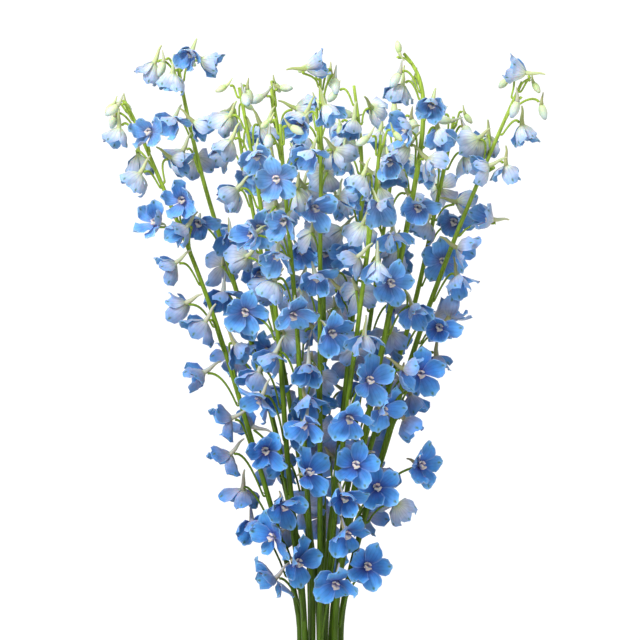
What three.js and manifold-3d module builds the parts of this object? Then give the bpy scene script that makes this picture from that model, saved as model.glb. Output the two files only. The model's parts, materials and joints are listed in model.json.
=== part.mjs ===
// A potted delphinium: fourteen flower spikes standing in peat in a plain clay pot.
// Each spike is one grown piece: a stem, with florets and buds on thin stalks all round it.
// Millimetres, +Z up. The origin is the centre of the pot's foot, and the front looks along -Y.
import * as THREE from "three";
import { mergeVertices } from "three/addons/utils/BufferGeometryUtils.js";
import Module from "manifold-3d";

const wasm = await Module();
wasm.setup();

// Pot and peat
const POT_HEIGHT = 150;
const POT_TOP_RADIUS = 92;
const POT_FOOT_RADIUS = 64;
const POT_WALL = 7;
const POT_FLOOR = 10;
const RIM_DEPTH = 32;
const RIM_STEP = 5;
const DRAIN_RADIUS = 6;
const DRAIN_RING = 36;
const DRAIN_HOLES = 3;
const DRAIN_TURN = 30;
const SOIL_TOP = 134;
const SOIL_CROWN = 5;
const FIT_GAP = 0.3;
const POT_SIDES = 24;
const HOLE_SIDES = 5;
const HOLE_ABOVE_PEAT = 10;
const DRAIN_SIDES = 8;

// Stems
const STEM_FOOT = 74;
const STEM_STRAIGHT_TO = [140, 190];
const STEM_FOOT_RADIUS = 4;
const STEM_TIP_RADIUS = 1.5;
const STEM_SIDES = 5;
const STEM_STEPS = 10;
const CROWN_OUTER_RADIUS = 20.5;
const CROWN_INNER_RADIUS = 10.5;

// Florets and buds
const SEPALS = 5;
const SEPAL_LENGTH = 23;
const SEPAL_HALF_WIDTH = 0.38;
const SEPAL_BULGE = 0.13;
const SEPAL_ANGLE_SHUT = 22;
const SEPAL_ANGLE_OPEN = 70;
const THROAT_RADIUS = 2.4;
const THROAT_DEPTH = 3.4;
const BACK_BEHIND = 0.6;
const SPUR_LENGTH = 19;
const BUD_SPUR_SHARE = 0.7;
const SPUR_LIFT = 6;
const SPUR_RADIUS = 3;
const BUD_NOSE = 19;
const BUD_RADIUS = 5.3;
const BUD_WIDEST = 0.55;
const BUD_BACK_LIFT = 0.4;
const STALK_RADIUS = 1;
const STALK_SIDES = 3;
const STALK_STEPS = 2;
const STALK_OFF_STEM = 2.2;
const STALK_LIFT = 0.7;
const STALK_LEAN = 0.12;
const HOOK_LONGEST = 10;
const HOOK_OF_REACH = 0.6;
const HOOK_DROP = 0.35;
const STALK_END_BEHIND = 2.8;
const STALK_END_BELOW = 1.8;

// How flowers stand on a spike. A pair's first value is for its lowest floret, or its oldest bud,
// and the second for its last floret, or its youngest bud. A play is the most that one flower
// differs from the rule to either side.
const GOLDEN_ANGLE = 137.5;
const NEXT_SPIKE_TURN = 77;
const FLORET_SPACING = 24;
const CLOSER_ABOVE = 0.6;
const FLORET_REACH = [24, 16];
const FLORET_RISE = 15;
const LOW_RISE = 18;
const LOWEST_RISE = 26;
const FLORET_PITCH = [-18, -50];
const FLORET_OPEN = [0.85, 0.1];
const FLORET_SIZE = [1.03, 0.95];
const BUD_REACH = [20, 12];
const BUD_RISE = [24, 14];
const BUD_SIZE = [1.05, 0.65];
const BUD_OVER_TIP = 4;
const HEIGHT_PLAY = 5;
const TWIST_PLAY = 45;
const PITCH_PLAY = 26;
const ROLL_PLAY = 20;
const OPEN_PLAY = 0.22;
const CROWD_FROM = 290;
const CROWD_HEIGHT = 330;
const CROWD_TURN = 0.4;
const SEED = 43;

// One row a spike: where its foot stands in the crown (ring radius, degrees), its route above the
// straight foot as [x, depth, height], the heights of its lowest floret and its last open one,
// and its number of buds. The flowers that show best are listed as seen: the throat's x and
// height, the way it faces in degrees round from +X, its pitch, and its openness unless it is a
// bud. All heights and widths are read off the photograph at 1 mm a pixel.
const OUT = CROWN_OUTER_RADIUS;
const INN = CROWN_INNER_RADIUS;
const SPIKES = [
  {
    foot: [OUT, 180],
    route: [[-24, -2, 255], [-62, -6, 394], [-113, -8, 559], [-177, -12, 716], [-194, -14, 752]],
    from: 337, to: 744, buds: 4,
    seen: [
      [-202, 749, 180, -40], [-168, 722, -120, 10, 0.5], [-200, 727, 180, -50, 0.3],
      [-181, 702, 180, -75, 0.3], [-179, 682, 180, -45, 0.35], [-163, 644, 180, -15, 0.4],
      [-138, 644, 0, 20, 0.4], [-142, 625, 180, -60, 0.3], [-144, 593, 180, -25, 0.45],
      [-128, 555, 180, -35, 0.45], [-114, 535, 180, -45, 0.4], [-116, 484, 180, -20, 0.6],
      [-88, 440, 180, -10, 0.7], [-58, 337, -30, -35, 0.7],
    ],
  },
  {
    foot: [OUT, 135],
    route: [
      [-19, 18, 260], [-40, 24, 400], [-76, 28, 535],
      [-119, 32, 679], [-141, 34, 775], [-142, 34, 797],
    ],
    from: 395, to: 796, buds: 2,
    seen: [
      [-146, 804, 200, -35, 0.15], [-134, 800, -90, -75, 0.15], [-118, 791, 0, -20, 0.15],
      [-148, 784, 180, -70, 0.35], [-139, 740, -90, -35, 0.6], [-127, 734, 0, -30, 0.2],
      [-138, 706, 180, -50, 0.3], [-127, 703, 90, -20, 0.5], [-123, 634, -90, -15, 0.6],
      [-100, 593, 90, -10, 0.7], [-98, 563, -100, -20, 0.6], [-87, 537, -100, -20, 0.7],
    ],
  },
  {
    foot: [OUT, 225],
    route: [
      [-18, -20, 270], [-31, -30, 385], [-42, -40, 529],
      [-60, -47, 660], [-69, -51, 710], [-79, -54, 762],
    ],
    from: 285, to: 748, buds: 3,
    seen: [
      [-43, 297, -110, 0, 0.9], [-30, 324, -90, -10, 0.95], [-46, 356, -100, -20, 0.7],
      [-52, 409, -100, 0, 0.7], [-60, 484, 200, -60, 0.4], [-74, 543, -90, -15, 0.8],
      [-59, 627, -90, -10, 0.8], [-62, 698, -100, -40, 0.7],
    ],
  },
  {
    foot: [INN, 150],
    route: [[-10, 9, 270], [-16, 16, 400], [-26, 24, 555], [-38, 30, 695], [-50, 32, 772]],
    from: 320, to: 752, buds: 3,
    seen: [[-36, 770, 0, -5], [-57, 761, 200, -25], [-25, 750, 0, 15, 0.2]],
  },
  {
    foot: [OUT, 270],
    route: [[0, -24, 260], [0, -45, 400], [0, -65, 560], [1, -80, 700], [0, -84, 776]],
    from: 280, to: 760, buds: 3,
    seen: [
      [-10, 776, 0, -5, 0.15], [4, 741, -30, -60, 0.3], [-25, 734, 220, -70, 0.3],
      [-16, 724, -90, -50, 0.3], [-5, 700, -10, -20, 0.5], [-15, 644, -90, 0, 0.7],
      [-14, 580, -110, -30, 0.6], [10, 526, -60, -20, 0.8], [-11, 494, -100, -75, 0.3],
      [-14, 462, -50, -50, 0.6], [19, 423, 30, -20, 0.6], [7, 413, -90, -70, 0.5],
    ],
  },
  {
    foot: [0, 0],
    route: [[4, 0, 260], [17, 2, 390], [31, 4, 520], [41, 5, 640], [41, 5, 710], [34, 5, 770]],
    from: 330, to: 752, buds: 3,
    seen: [
      [17, 765, 200, -50], [32, 741, 150, 20], [20, 730, 200, -85], [30, 700, -70, -60, 0.4],
      [52, 680, -10, -30, 0.4], [18, 657, 220, -60, 0.35], [28, 601, -110, -10, 0.7],
      [20, 565, -20, -50, 0.5],
    ],
  },
  {
    foot: [OUT, 315],
    route: [
      [18, -18, 270], [40, -28, 400], [66, -38, 530], [84, -46, 620], [98, -50, 700],
      [101, -50, 744], [98, -50, 768], [91, -49, 784], [82, -48, 796],
    ],
    from: 290, to: 765, buds: 3,
    seen: [
      [74, 796, 180, 80], [73, 771, 180, -80], [92, 773, 90, -30], [80, 762, 180, -70, 0.2],
      [92, 746, 200, -60, 0.3], [98, 722, -90, -60, 0.5], [85, 720, -135, -25, 0.4],
      [104, 692, 0, -30, 0.5], [73, 685, -120, -75, 0.3], [95, 646, -90, -15, 0.6],
      [71, 621, -60, -60, 0.5], [68, 574, -70, -10, 0.8], [61, 450, -50, -20, 0.9],
      [57, 371, -90, 10, 0.8], [50, 287, -80, 10, 0.8],
    ],
  },
  {
    foot: [INN, 6],
    route: [[18, 9, 280], [52, 26, 410], [93, 34, 540], [119, 38, 655], [133, 40, 721], [136, 40, 742]],
    from: 375, to: 728, buds: 4,
    seen: [
      [132, 736, 180, 5], [121, 719, -90, -10, 0.3], [135, 635, -90, -10, 0.6],
      [108, 635, 180, -50, 0.35], [124, 595, -90, -10, 1], [93, 460, -30, -70, 0.3],
      [54, 396, 170, 10, 0.6],
    ],
  },
  {
    foot: [OUT, 0],
    route: [
      [25, 0, 260], [62, -4, 400], [97, -6, 515], [130, -8, 605],
      [156, -10, 669], [182, -12, 730], [201, -12, 772],
    ],
    from: 350, to: 756, buds: 4,
    seen: [
      [200, 780, 180, -5, 0.1], [196, 753, 180, -70], [221, 751, 0, -75], [201, 730, 0, -75, 0.15],
      [172, 711, 180, -10, 0.35], [168, 689, 180, -10, 0.45], [185, 690, 0, -75, 0.5],
      [163, 640, 180, -10, 0.3], [136, 608, 0, -20, 0.4], [137, 580, -45, -60, 0.6],
      [130, 539, 0, 40, 0.5], [119, 529, -90, 0, 0.6], [116, 501, -45, -75, 0.5],
      [101, 484, -90, -10, 0.9], [84, 439, 0, -45, 0.6], [100, 392, -50, 0, 0.8],
      [83, 374, -40, -30, 0.7], [77, 352, 70, -40, 0.6],
    ],
  },
  {
    foot: [OUT, 90],
    route: [[-4, 26, 270], [-24, 48, 410], [-50, 70, 550], [-76, 88, 680], [-89, 95, 755]],
    from: 330, to: 738, buds: 3,
  },
  {
    foot: [OUT, 45],
    route: [[17, 20, 270], [34, 46, 410], [54, 72, 550], [74, 94, 680], [83, 100, 755]],
    from: 345, to: 738, buds: 3,
  },
  {
    foot: [INN, 78],
    route: [[3, 18, 270], [4, 48, 410], [4, 80, 550], [0, 108, 690], [-4, 118, 766]],
    from: 300, to: 748, buds: 3,
  },
  {
    foot: [INN, 222],
    route: [[-8, -12, 270], [-15, -44, 410], [-24, -76, 550], [-34, -98, 665], [-38, -104, 722]],
    from: 280, to: 705, buds: 3,
    seen: [
      [-19, 278, 100, -10, 0.9], [-24, 392, -90, 0, 0.9], [-26, 547, -90, -20, 0.9],
      [-41, 672, -100, -10, 0.8], [-19, 695, -120, -40, 0.6],
    ],
  },
  {
    foot: [INN, 294],
    route: [[8, -14, 270], [22, -46, 410], [38, -76, 540], [52, -96, 650], [58, -102, 712]],
    from: 300, to: 695, buds: 3,
    seen: [
      [26, 332, -60, -60, 0.8], [25, 400, -120, -10, 0.8], [48, 481, -75, -15, 0.9],
      [43, 526, -60, -60, 0.5], [55, 595, -90, -85, 0.1], [47, 598, 190, -50, 0.5],
      [56, 649, -60, -40, 0.4],
    ],
  },
];

const radians = THREE.MathUtils.degToRad;
const mix = THREE.MathUtils.lerp;
const vector = (x, y, z) => new THREE.Vector3(x, y, z);

// The same numbers each time: a multiplicative generator that stays within whole numbers.
function randomFrom(seed) {
  let state = seed;
  return () => {
    state = (state * 16807) % 2147483647;
    return state / 2147483647;
  };
}

// A closed geometry as a solid, and back.
function solid(geometry) {
  const bare = geometry.index ? geometry.toNonIndexed() : geometry.clone();
  bare.deleteAttribute("normal");
  bare.deleteAttribute("uv");
  const merged = mergeVertices(bare, 1e-4);
  return new wasm.Manifold(new wasm.Mesh({
    numProp: 3,
    vertProperties: merged.attributes.position.array,
    triVerts: new Uint32Array(merged.index.array),
  }));
}

function geometryOf(body) {
  const mesh = body.getMesh();
  const geometry = new THREE.BufferGeometry();
  geometry.setAttribute("position", new THREE.BufferAttribute(mesh.vertProperties, 3));
  geometry.setIndex(new THREE.BufferAttribute(mesh.triVerts, 1));
  geometry.computeVertexNormals();
  return geometry;
}

const stemRadius = (share) => mix(STEM_FOOT_RADIUS, STEM_TIP_RADIUS, share);

// The stem's line from its foot in the peat to its tip.
function stemCurve({ foot, route }) {
  const [ring, turn] = foot;
  const x = ring * Math.cos(radians(turn));
  const y = ring * Math.sin(radians(turn));
  const straight = [STEM_FOOT, ...STEM_STRAIGHT_TO].map((height) => vector(x, y, height));
  const above = route.map(([px, py, pz]) => vector(px, py, pz));
  return new THREE.CatmullRomCurve3([...straight, ...above], false, "catmullrom", 0.5);
}

// A stem: a closed tube bent along its curve, which never runs along Y.
function stemGeometry(spike) {
  const curve = stemCurve(spike);
  const tube = new THREE.CylinderGeometry(1, 1, 1, STEM_SIDES, STEM_STEPS);
  const place = tube.attributes.position;
  for (let i = 0; i < place.count; i++) {
    const share = place.getY(i) + 0.5;
    const ahead = curve.getTangent(share);
    const side = ahead.clone().cross(vector(0, 1, 0)).normalize();
    const front = side.clone().cross(ahead);
    const at = curve.getPoint(share);
    at.addScaledVector(side, place.getX(i) * stemRadius(share));
    at.addScaledVector(front, place.getZ(i) * stemRadius(share));
    place.setXYZ(i, at.x, at.y, at.z);
  }
  return tube;
}

// The curve's parameter at a height, found by halving: the stems climb all the way.
function atHeight(curve, height) {
  let low = 0;
  let high = 1;
  for (let i = 0; i < 30; i++) {
    const middle = (low + high) / 2;
    if (curve.getPoint(middle).z < height) low = middle;
    else high = middle;
  }
  return (low + high) / 2;
}

// A point on a sepal in the floret's own frame: x to the side, y up, z out of the mouth.
function sepalPoint(turn, share, across, length, angle) {
  const bulge = SEPAL_BULGE * Math.sin(Math.PI * share);
  const out = THROAT_RADIUS + length * (share * Math.sin(angle) + bulge * Math.cos(angle));
  const forward = length * (share * Math.cos(angle) - bulge * Math.sin(angle));
  const aside = across * SEPAL_HALF_WIDTH * length;
  return vector(
    out * Math.cos(turn) - aside * Math.sin(turn),
    out * Math.sin(turn) + aside * Math.cos(turn),
    forward,
  );
}

// Openness at which a sepal's end turns from one corner into two, where the end is, and how far
// out the notch between two sepals lies in a shut and in an open floret.
const BELL_OPEN = 0.66;
const SEPAL_END = 0.92;
const SEPAL_END_ACROSS = 0.62;
const NOTCH_AT = [0.8, 0.46];
const BACK_TURNS = [90, 210, 330];
const BUD_TURNS = [45, 135, 225, 315];
const sepalTurn = (i) => radians(90 + (i * 360) / SEPALS);
const sepalAngle = (open) => radians(mix(SEPAL_ANGLE_SHUT, SEPAL_ANGLE_OPEN, open));

// A faceted body from its corners and the triangles between them.
function faceted(corners, triangles) {
  const geometry = new THREE.BufferGeometry();
  geometry.setAttribute("position", new THREE.Float32BufferAttribute(corners.flatMap((c) => c.toArray()), 3));
  geometry.setIndex(triangles.flat());
  return geometry;
}

// An open floret: five sepals round a throat, drawn out behind into a spur. A bell's sepals are
// narrow at the mouth, so each ends in one corner where a wide open one has two.
// The socket is the triangle under the spur that is left open for the stalk.
function floretShape({ size, open }) {
  const length = SEPAL_LENGTH * size;
  const angle = sepalAngle(open);
  const notch = mix(...NOTCH_AT, open);
  const ends = open > BELL_OPEN ? [-SEPAL_END_ACROSS, SEPAL_END_ACROSS] : [0];
  const rim = [];
  for (let i = 0; i < SEPALS; i++) {
    const turn = sepalTurn(i);
    ends.forEach((across) => rim.push(sepalPoint(turn, SEPAL_END, across, length, angle)));
    rim.push(sepalPoint(turn + Math.PI / SEPALS, notch, 0, length, angle));
  }
  const back = BACK_TURNS.map((turn) => vector(
    SPUR_RADIUS * Math.cos(radians(turn)), SPUR_RADIUS * Math.sin(radians(turn)), -BACK_BEHIND,
  ));
  const corners = [...rim, ...back, vector(0, 0, THROAT_DEPTH), vector(0, SPUR_LIFT, -SPUR_LENGTH * size)];
  const ring = rim.length;
  const throat = ring + 3;
  const spurTip = throat + 1;
  const triangles = [];
  const third = ring / 3;
  for (let j = 0; j < ring; j++) {
    const next = (j + 1) % ring;
    const corner = ring + Math.floor(((j + third / 2) % ring) / third);
    const nextCorner = ring + Math.floor(((j + 1 + third / 2) % ring) / third);
    triangles.push([throat, j, next]);
    triangles.push([corner, next, j]);
    if (nextCorner !== corner) triangles.push([corner, nextCorner, next]);
  }
  triangles.push([spurTip, ring + 1, ring], [spurTip, ring, ring + 2]);
  return { corners, triangles, socket: [spurTip, ring + 2, ring + 1] };
}

// A bud: a closed nose in front, with the spur behind.
function budShape({ size }) {
  const around = (turns, radius, forward, lift) => turns.map((turn) => vector(
    radius * Math.cos(radians(turn)), radius * Math.sin(radians(turn)) + lift, forward,
  ));
  const corners = [
    vector(0, 0, BUD_NOSE * size),
    ...around(BUD_TURNS, BUD_RADIUS * size, BUD_NOSE * size * BUD_WIDEST, 0),
    ...around(BACK_TURNS, SPUR_RADIUS * size, -BACK_BEHIND, BUD_BACK_LIFT),
    vector(0, SPUR_LIFT * size, -SPUR_LENGTH * BUD_SPUR_SHARE * size),
  ];
  const triangles = [
    [0, 1, 2], [0, 2, 3], [0, 3, 4], [0, 4, 1],
    [5, 2, 1], [5, 6, 2], [6, 3, 2], [6, 7, 3], [7, 4, 3], [7, 1, 4], [7, 5, 1],
    [8, 6, 5], [8, 5, 7],
  ];
  return { corners, triangles, socket: [8, 7, 6] };
}

// The flower's own frame in the part: z along its facing, y as near up as it can be, then rolled.
function frameOf({ at, facing, roll }) {
  const aside = vector(0, 0, 1).cross(facing).normalize();
  const up = facing.clone().cross(aside);
  const turned = new THREE.Matrix4().makeRotationZ(roll);
  return new THREE.Matrix4().makeBasis(aside, up, facing).setPosition(at).multiply(turned);
}

// The stalk runs up beside the stem, then arches over to the flower's back, under the spur.
function stalkCurve({ root, thick, along, outward, at, facing, reach, rise }) {
  const hook = Math.min(HOOK_LONGEST, reach * HOOK_OF_REACH);
  const flowerUp = facing.clone().cross(vector(0, 0, 1).cross(facing).normalize());
  const start = root.clone();
  start.addScaledVector(outward, thick + STALK_OFF_STEM).addScaledVector(along, STALK_OFF_STEM);
  return new THREE.CubicBezierCurve3(
    start,
    start.clone().addScaledVector(along, rise * STALK_LIFT).addScaledVector(outward, reach * STALK_LEAN),
    at.clone().addScaledVector(facing, -hook).addScaledVector(flowerUp, -hook * HOOK_DROP),
    at.clone().addScaledVector(facing, -STALK_END_BEHIND).addScaledVector(flowerUp, -STALK_END_BELOW),
  );
}

// A flower with its stalk, as one body. The stalk's rings start from the socket's three corners
// and keep their turn all the way to its root, where it ends in a point inside the stem.
function flowerGeometry(flower) {
  const { corners, triangles, socket } = flower.bud ? budShape(flower) : floretShape(flower);
  const frame = frameOf(flower);
  corners.forEach((corner) => corner.applyMatrix4(frame));
  const curve = stalkCurve(flower);
  let before = socket;
  const toSide = corners[socket[0]].clone().sub(curve.getPoint(1));
  for (let i = STALK_STEPS; i >= 0; i--) {
    const centre = curve.getPoint(i / STALK_STEPS);
    const ahead = curve.getTangent(i / STALK_STEPS);
    toSide.addScaledVector(ahead, -toSide.dot(ahead)).normalize();
    const first = corners.length;
    for (let k = 0; k < STALK_SIDES; k++) {
      const side = toSide.clone().applyAxisAngle(ahead, (-2 * Math.PI * k) / STALK_SIDES);
      corners.push(centre.clone().addScaledVector(side, STALK_RADIUS));
    }
    const ring = [first, first + 1, first + 2];
    for (let k = 0; k < STALK_SIDES; k++) {
      const next = (k + 1) % STALK_SIDES;
      triangles.push([before[k], before[next], ring[next]], [before[k], ring[next], ring[k]]);
    }
    before = ring;
  }
  corners.push(flower.root);
  for (let k = 0; k < STALK_SIDES; k++) {
    triangles.push([before[k], before[(k + 1) % STALK_SIDES], corners.length - 1]);
  }
  return faceted(corners, triangles);
}

// Small balls that stand for a flower and its stalk while a clear place is looked for.
const SEPAL_BALLS = [[0.35, 0], [0.65, 0.55], [0.65, -0.55], [0.94, 0.32], [0.94, -0.32]];
const SEPAL_BALL = 4.3;
const BUD_BALLS = [0.1, 0.4, 0.75];
const SPUR_BALL = 2.8;
const STALK_BALL = 1.8;
const STALK_BALL_GAP = 4;
const SAME_SPIKE = 0.75;
const NEIGHBOURS_WITHIN = 110;

function ballsOf(flower) {
  const frame = frameOf(flower);
  const { size, open, bud } = flower;
  const balls = [];
  const add = (point, radius) => balls.push({ point: point.applyMatrix4(frame), radius, kind: "flower" });
  if (bud) {
    BUD_BALLS.forEach((share) => add(vector(0, 0, BUD_NOSE * share * size), BUD_RADIUS * size));
  } else {
    for (let i = 0; i < SEPALS; i++) {
      for (const [share, across] of SEPAL_BALLS) {
        const point = sepalPoint(sepalTurn(i), share, across, SEPAL_LENGTH * size, sepalAngle(open));
        add(point, SEPAL_BALL * size);
      }
    }
  }
  [0.35, 0.7, 1].forEach((share) => add(
    vector(0, share * SPUR_LIFT, -share * SPUR_LENGTH * size * (bud ? BUD_SPUR_SHARE : 1)), SPUR_BALL,
  ));
  const stalk = stalkCurve(flower);
  const steps = Math.ceil((flower.reach + flower.rise) / STALK_BALL_GAP);
  for (let i = 0; i < steps; i++) {
    balls.push({ point: stalk.getPoint(i / steps), radius: STALK_BALL, kind: "stalk" });
  }
  return balls;
}

const obstacles = [];

function isClear(balls, spike) {
  const middle = balls[0].point;
  const near = obstacles.filter((other) => other.point.distanceTo(middle) < NEIGHBOURS_WITHIN);
  return balls.every((ball) => near.every((other) => {
    const same = other.spike === spike;
    if (same && ball.kind === "stalk" && other.kind !== "flower") return true;
    const least = (ball.radius + other.radius) * (same ? SAME_SPIKE : 1);
    return ball.point.distanceToSquared(other.point) > least * least;
  }));
}

const REACHES = [1, 1.3, 0.75, 1.65];
const TURNS = [0, 28, -28, 56, -56, 84, -84, 112, -112];
const TILTS = [0, 24, -24];
const RISE_KEPT = 0.7;

// Tries the wished place first, then turns, lengthens and tilts until nothing is touched.
function clearPlace(wish, spike) {
  for (const stretch of REACHES) {
    for (const turn of TURNS) {
      for (const tilt of TILTS) {
        const flower = flowerAt(wish, stretch, turn, tilt);
        const balls = ballsOf(flower);
        if (isClear(balls, spike)) {
          balls.forEach((ball) => obstacles.push({ ...ball, spike }));
          return flower;
        }
      }
    }
  }
  return null;
}

function flowerAt(wish, stretch, turn, tilt) {
  const { curve, height, azimuth, twist, pitch } = wish;
  const rise = wish.rise * mix(RISE_KEPT, 1, stretch);
  const reach = wish.reach * stretch;
  const share = atHeight(curve, height - rise);
  const root = curve.getPoint(share);
  const along = curve.getTangent(share);
  const heading = azimuth + radians(turn);
  const outward = vector(Math.cos(heading), Math.sin(heading), 0);
  outward.addScaledVector(along, -outward.dot(along)).normalize();
  const at = root.clone().addScaledVector(outward, reach).addScaledVector(along, rise);
  const face = heading + twist;
  const lift = pitch + radians(tilt);
  const facing = vector(Math.cos(face) * Math.cos(lift), Math.sin(face) * Math.cos(lift), Math.sin(lift));
  return { ...wish, root, thick: stemRadius(share), along, outward, at, facing, reach, rise };
}

// What each spike would bear if it stood alone: florets from the lowest up, then buds.
function wishesOf(spike, index, random) {
  const curve = stemCurve(spike);
  const florets = Math.round((spike.to - spike.from) / FLORET_SPACING);
  const tip = curve.getPoint(1).z;
  const play = (half) => mix(-half, half, random());
  const wishes = [];
  for (let k = 0; k < florets + spike.buds; k++) {
    const bud = k >= florets;
    const share = bud ? 1 : k / florets;
    const budShare = bud ? (k - florets + 1) / spike.buds : 0;
    const closer = share * (1 + CLOSER_ABOVE * (1 - share));
    const height = bud
      ? mix(spike.to, tip + BUD_OVER_TIP, budShare)
      : mix(spike.from, spike.to, closer) + play(HEIGHT_PLAY);
    const below = 1 - share;
    const rise = bud ? mix(...BUD_RISE, budShare) : FLORET_RISE + LOW_RISE * below + LOWEST_RISE * below ** 3;
    const axis = curve.getPoint(atHeight(curve, height - rise));
    const crowd = THREE.MathUtils.clamp((height - CROWD_FROM) / CROWD_HEIGHT, 0, 1);
    const outwards = Math.atan2(axis.y, axis.x);
    const spiral = ((k * GOLDEN_ANGLE + index * NEXT_SPIKE_TURN) % 360) - 180;
    wishes.push({
      curve, bud, height, rise, index, seen: false,
      azimuth: outwards + radians(spiral) * mix(CROWD_TURN, 1, crowd),
      reach: bud ? mix(...BUD_REACH, budShare) : mix(...FLORET_REACH, share ** 2),
      twist: radians(play(TWIST_PLAY)),
      pitch: radians(mix(...FLORET_PITCH, share) + play(PITCH_PLAY)),
      roll: radians(play(ROLL_PLAY)),
      open: THREE.MathUtils.clamp(mix(...FLORET_OPEN, share) + play(OPEN_PLAY), 0, 1),
      size: bud ? mix(...BUD_SIZE, budShare) : mix(...FLORET_SIZE, share),
    });
  }
  (spike.seen ?? []).forEach((flower) => takeSeen(wishes, flower));
  return wishes;
}

// A flower seen in the photograph takes over the wish nearest its height. Its stalk is square to
// the stem, and leans to the near side as far as its length is not used up sideways, or to the far
// side if the flower looks away.
const LOOKS_AWAY = 0.3;

function takeSeen(wishes, [x, height, face, pitch, open]) {
  const bud = open === undefined;
  const free = wishes.filter((wish) => !wish.seen && wish.bud === bud);
  const wish = free.reduce((a, b) => (Math.abs(b.height - height) < Math.abs(a.height - height) ? b : a));
  const share = atHeight(wish.curve, height);
  const lean = wish.curve.getTangent(share);
  const aside = (x - wish.curve.getPoint(share).x) * lean.z;
  const reach = Math.max(Math.abs(aside), wish.reach);
  const side = Math.sin(radians(face)) > LOOKS_AWAY ? 1 : -1;
  const azimuth = side * Math.acos(aside / reach);
  Object.assign(wish, {
    seen: true, height: height + aside * lean.x, azimuth, reach,
    twist: radians(face) - azimuth, pitch: radians(pitch), open: bud ? wish.open : open,
  });
}

// Every stem is in the way before the first flower is placed.
const STEM_BALL_GAP = 5;
const STEM_BALL_MARGIN = 0.8;
SPIKES.forEach((spike, index) => {
  const curve = stemCurve(spike);
  const count = Math.ceil(curve.getLength() / STEM_BALL_GAP);
  for (let i = 0; i <= count; i++) {
    const radius = stemRadius(i / count) + STEM_BALL_MARGIN;
    obstacles.push({ point: curve.getPoint(i / count), radius, kind: "stem", spike: index });
  }
});

// The seen flowers come first, then the others, each from the lowest to the highest. Each takes the
// first clear place, or is left out.
const random = randomFrom(SEED);
const wishes = SPIKES.flatMap((spike, index) => wishesOf(spike, index, random));
wishes.sort((a, b) => b.seen - a.seen || a.height - b.height);
const flowers = wishes.map((wish) => clearPlace(wish, wish.index)).filter((flower) => flower);

// A spike: its flowers joined to its stem as one body.
function spikeSolid(spike, index) {
  const own = flowers.filter((flower) => flower.index === index);
  return own.reduce((body, flower) => body.add(solid(flowerGeometry(flower))), solid(stemGeometry(spike)));
}

// A profile of [radius, height] turned about the pot's axis, and an upright prism off that axis.
function turned(profile) {
  const points = profile.map(([radius, height]) => new THREE.Vector2(radius, height));
  return new THREE.LatheGeometry(points, POT_SIDES).rotateX(Math.PI / 2);
}

function upright(radius, sides, ring, turn, from, to) {
  const prism = new THREE.CylinderGeometry(radius, radius, to - from, sides).rotateX(Math.PI / 2);
  return prism.translate(ring * Math.cos(turn), ring * Math.sin(turn), (from + to) / 2);
}

// A plain clay pot: a tapered wall under a stepped rim, with drain holes in its floor.
function potGeometry() {
  const slope = (POT_TOP_RADIUS - RIM_STEP - POT_FOOT_RADIUS) / POT_HEIGHT;
  const outer = (height) => POT_FOOT_RADIUS + slope * height;
  const rimFoot = POT_HEIGHT - RIM_DEPTH;
  const profile = [
    [0, 0], [POT_FOOT_RADIUS, 0],
    [outer(rimFoot), rimFoot], [outer(rimFoot) + RIM_STEP, rimFoot], [POT_TOP_RADIUS, POT_HEIGHT],
    [POT_TOP_RADIUS - POT_WALL, POT_HEIGHT], [outer(POT_FLOOR) - POT_WALL, POT_FLOOR], [0, POT_FLOOR],
  ];
  let body = solid(turned(profile));
  for (let i = 0; i < DRAIN_HOLES; i++) {
    const turn = radians((360 / DRAIN_HOLES) * i + DRAIN_TURN);
    body = body.subtract(solid(upright(DRAIN_RADIUS, DRAIN_SIDES, DRAIN_RING, turn, -1, POT_FLOOR + 1)));
  }
  return geometryOf(body);
}

// Peat fills the pot inside its wall, crowned in the middle, with a plain hole for each stem.
function soilGeometry() {
  const slope = (POT_TOP_RADIUS - RIM_STEP - POT_FOOT_RADIUS) / POT_HEIGHT;
  const floorRadius = POT_FOOT_RADIUS + slope * POT_FLOOR;
  const widening = (POT_TOP_RADIUS - floorRadius) / (POT_HEIGHT - POT_FLOOR);
  const inner = (height) => floorRadius + widening * (height - POT_FLOOR) - POT_WALL - FIT_GAP;
  const profile = [
    [0, POT_FLOOR], [inner(POT_FLOOR), POT_FLOOR], [inner(SOIL_TOP), SOIL_TOP], [0, SOIL_TOP + SOIL_CROWN],
  ];
  let body = solid(turned(profile));
  const holeRadius = (STEM_FOOT_RADIUS + FIT_GAP) / Math.cos(Math.PI / HOLE_SIDES);
  const above = SOIL_TOP + SOIL_CROWN + HOLE_ABOVE_PEAT;
  for (const { foot: [ring, turn] } of SPIKES) {
    const hole = upright(holeRadius, HOLE_SIDES, ring, radians(turn), STEM_FOOT - FIT_GAP, above);
    body = body.subtract(solid(hole));
  }
  return geometryOf(body);
}

const materials = {
  clay: new THREE.MeshStandardMaterial({ color: 0xb8673f, roughness: 0.9, metalness: 0 }),
  peat: new THREE.MeshStandardMaterial({ color: 0x3a2a1e, roughness: 1, metalness: 0 }),
  bloom: new THREE.MeshStandardMaterial({ color: 0x6590d6, roughness: 0.6, metalness: 0 }),
};

const plant = new THREE.Group();
function place(name, geometry, material) {
  const mesh = new THREE.Mesh(geometry, material);
  mesh.name = name;
  plant.add(mesh);
}

place("pot", potGeometry(), materials.clay);
place("soil", soilGeometry(), materials.peat);
SPIKES.forEach((spike, index) => {
  const name = `flower_spike_${String(index + 1).padStart(2, "0")}`;
  place(name, geometryOf(spikeSolid(spike, index)), materials.bloom);
});

export default plant;
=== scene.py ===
# %% [markdown]
# # A potted delphinium
# Fourteen flower spikes stand in peat in a clay pot. The frame of plain solids is loaded first. It fixes
# every place and size, and its box is kept and printed beside the finished plant's box at the end.

# %% Load the frame
import json
import math
from collections import namedtuple
from functools import partial

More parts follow.
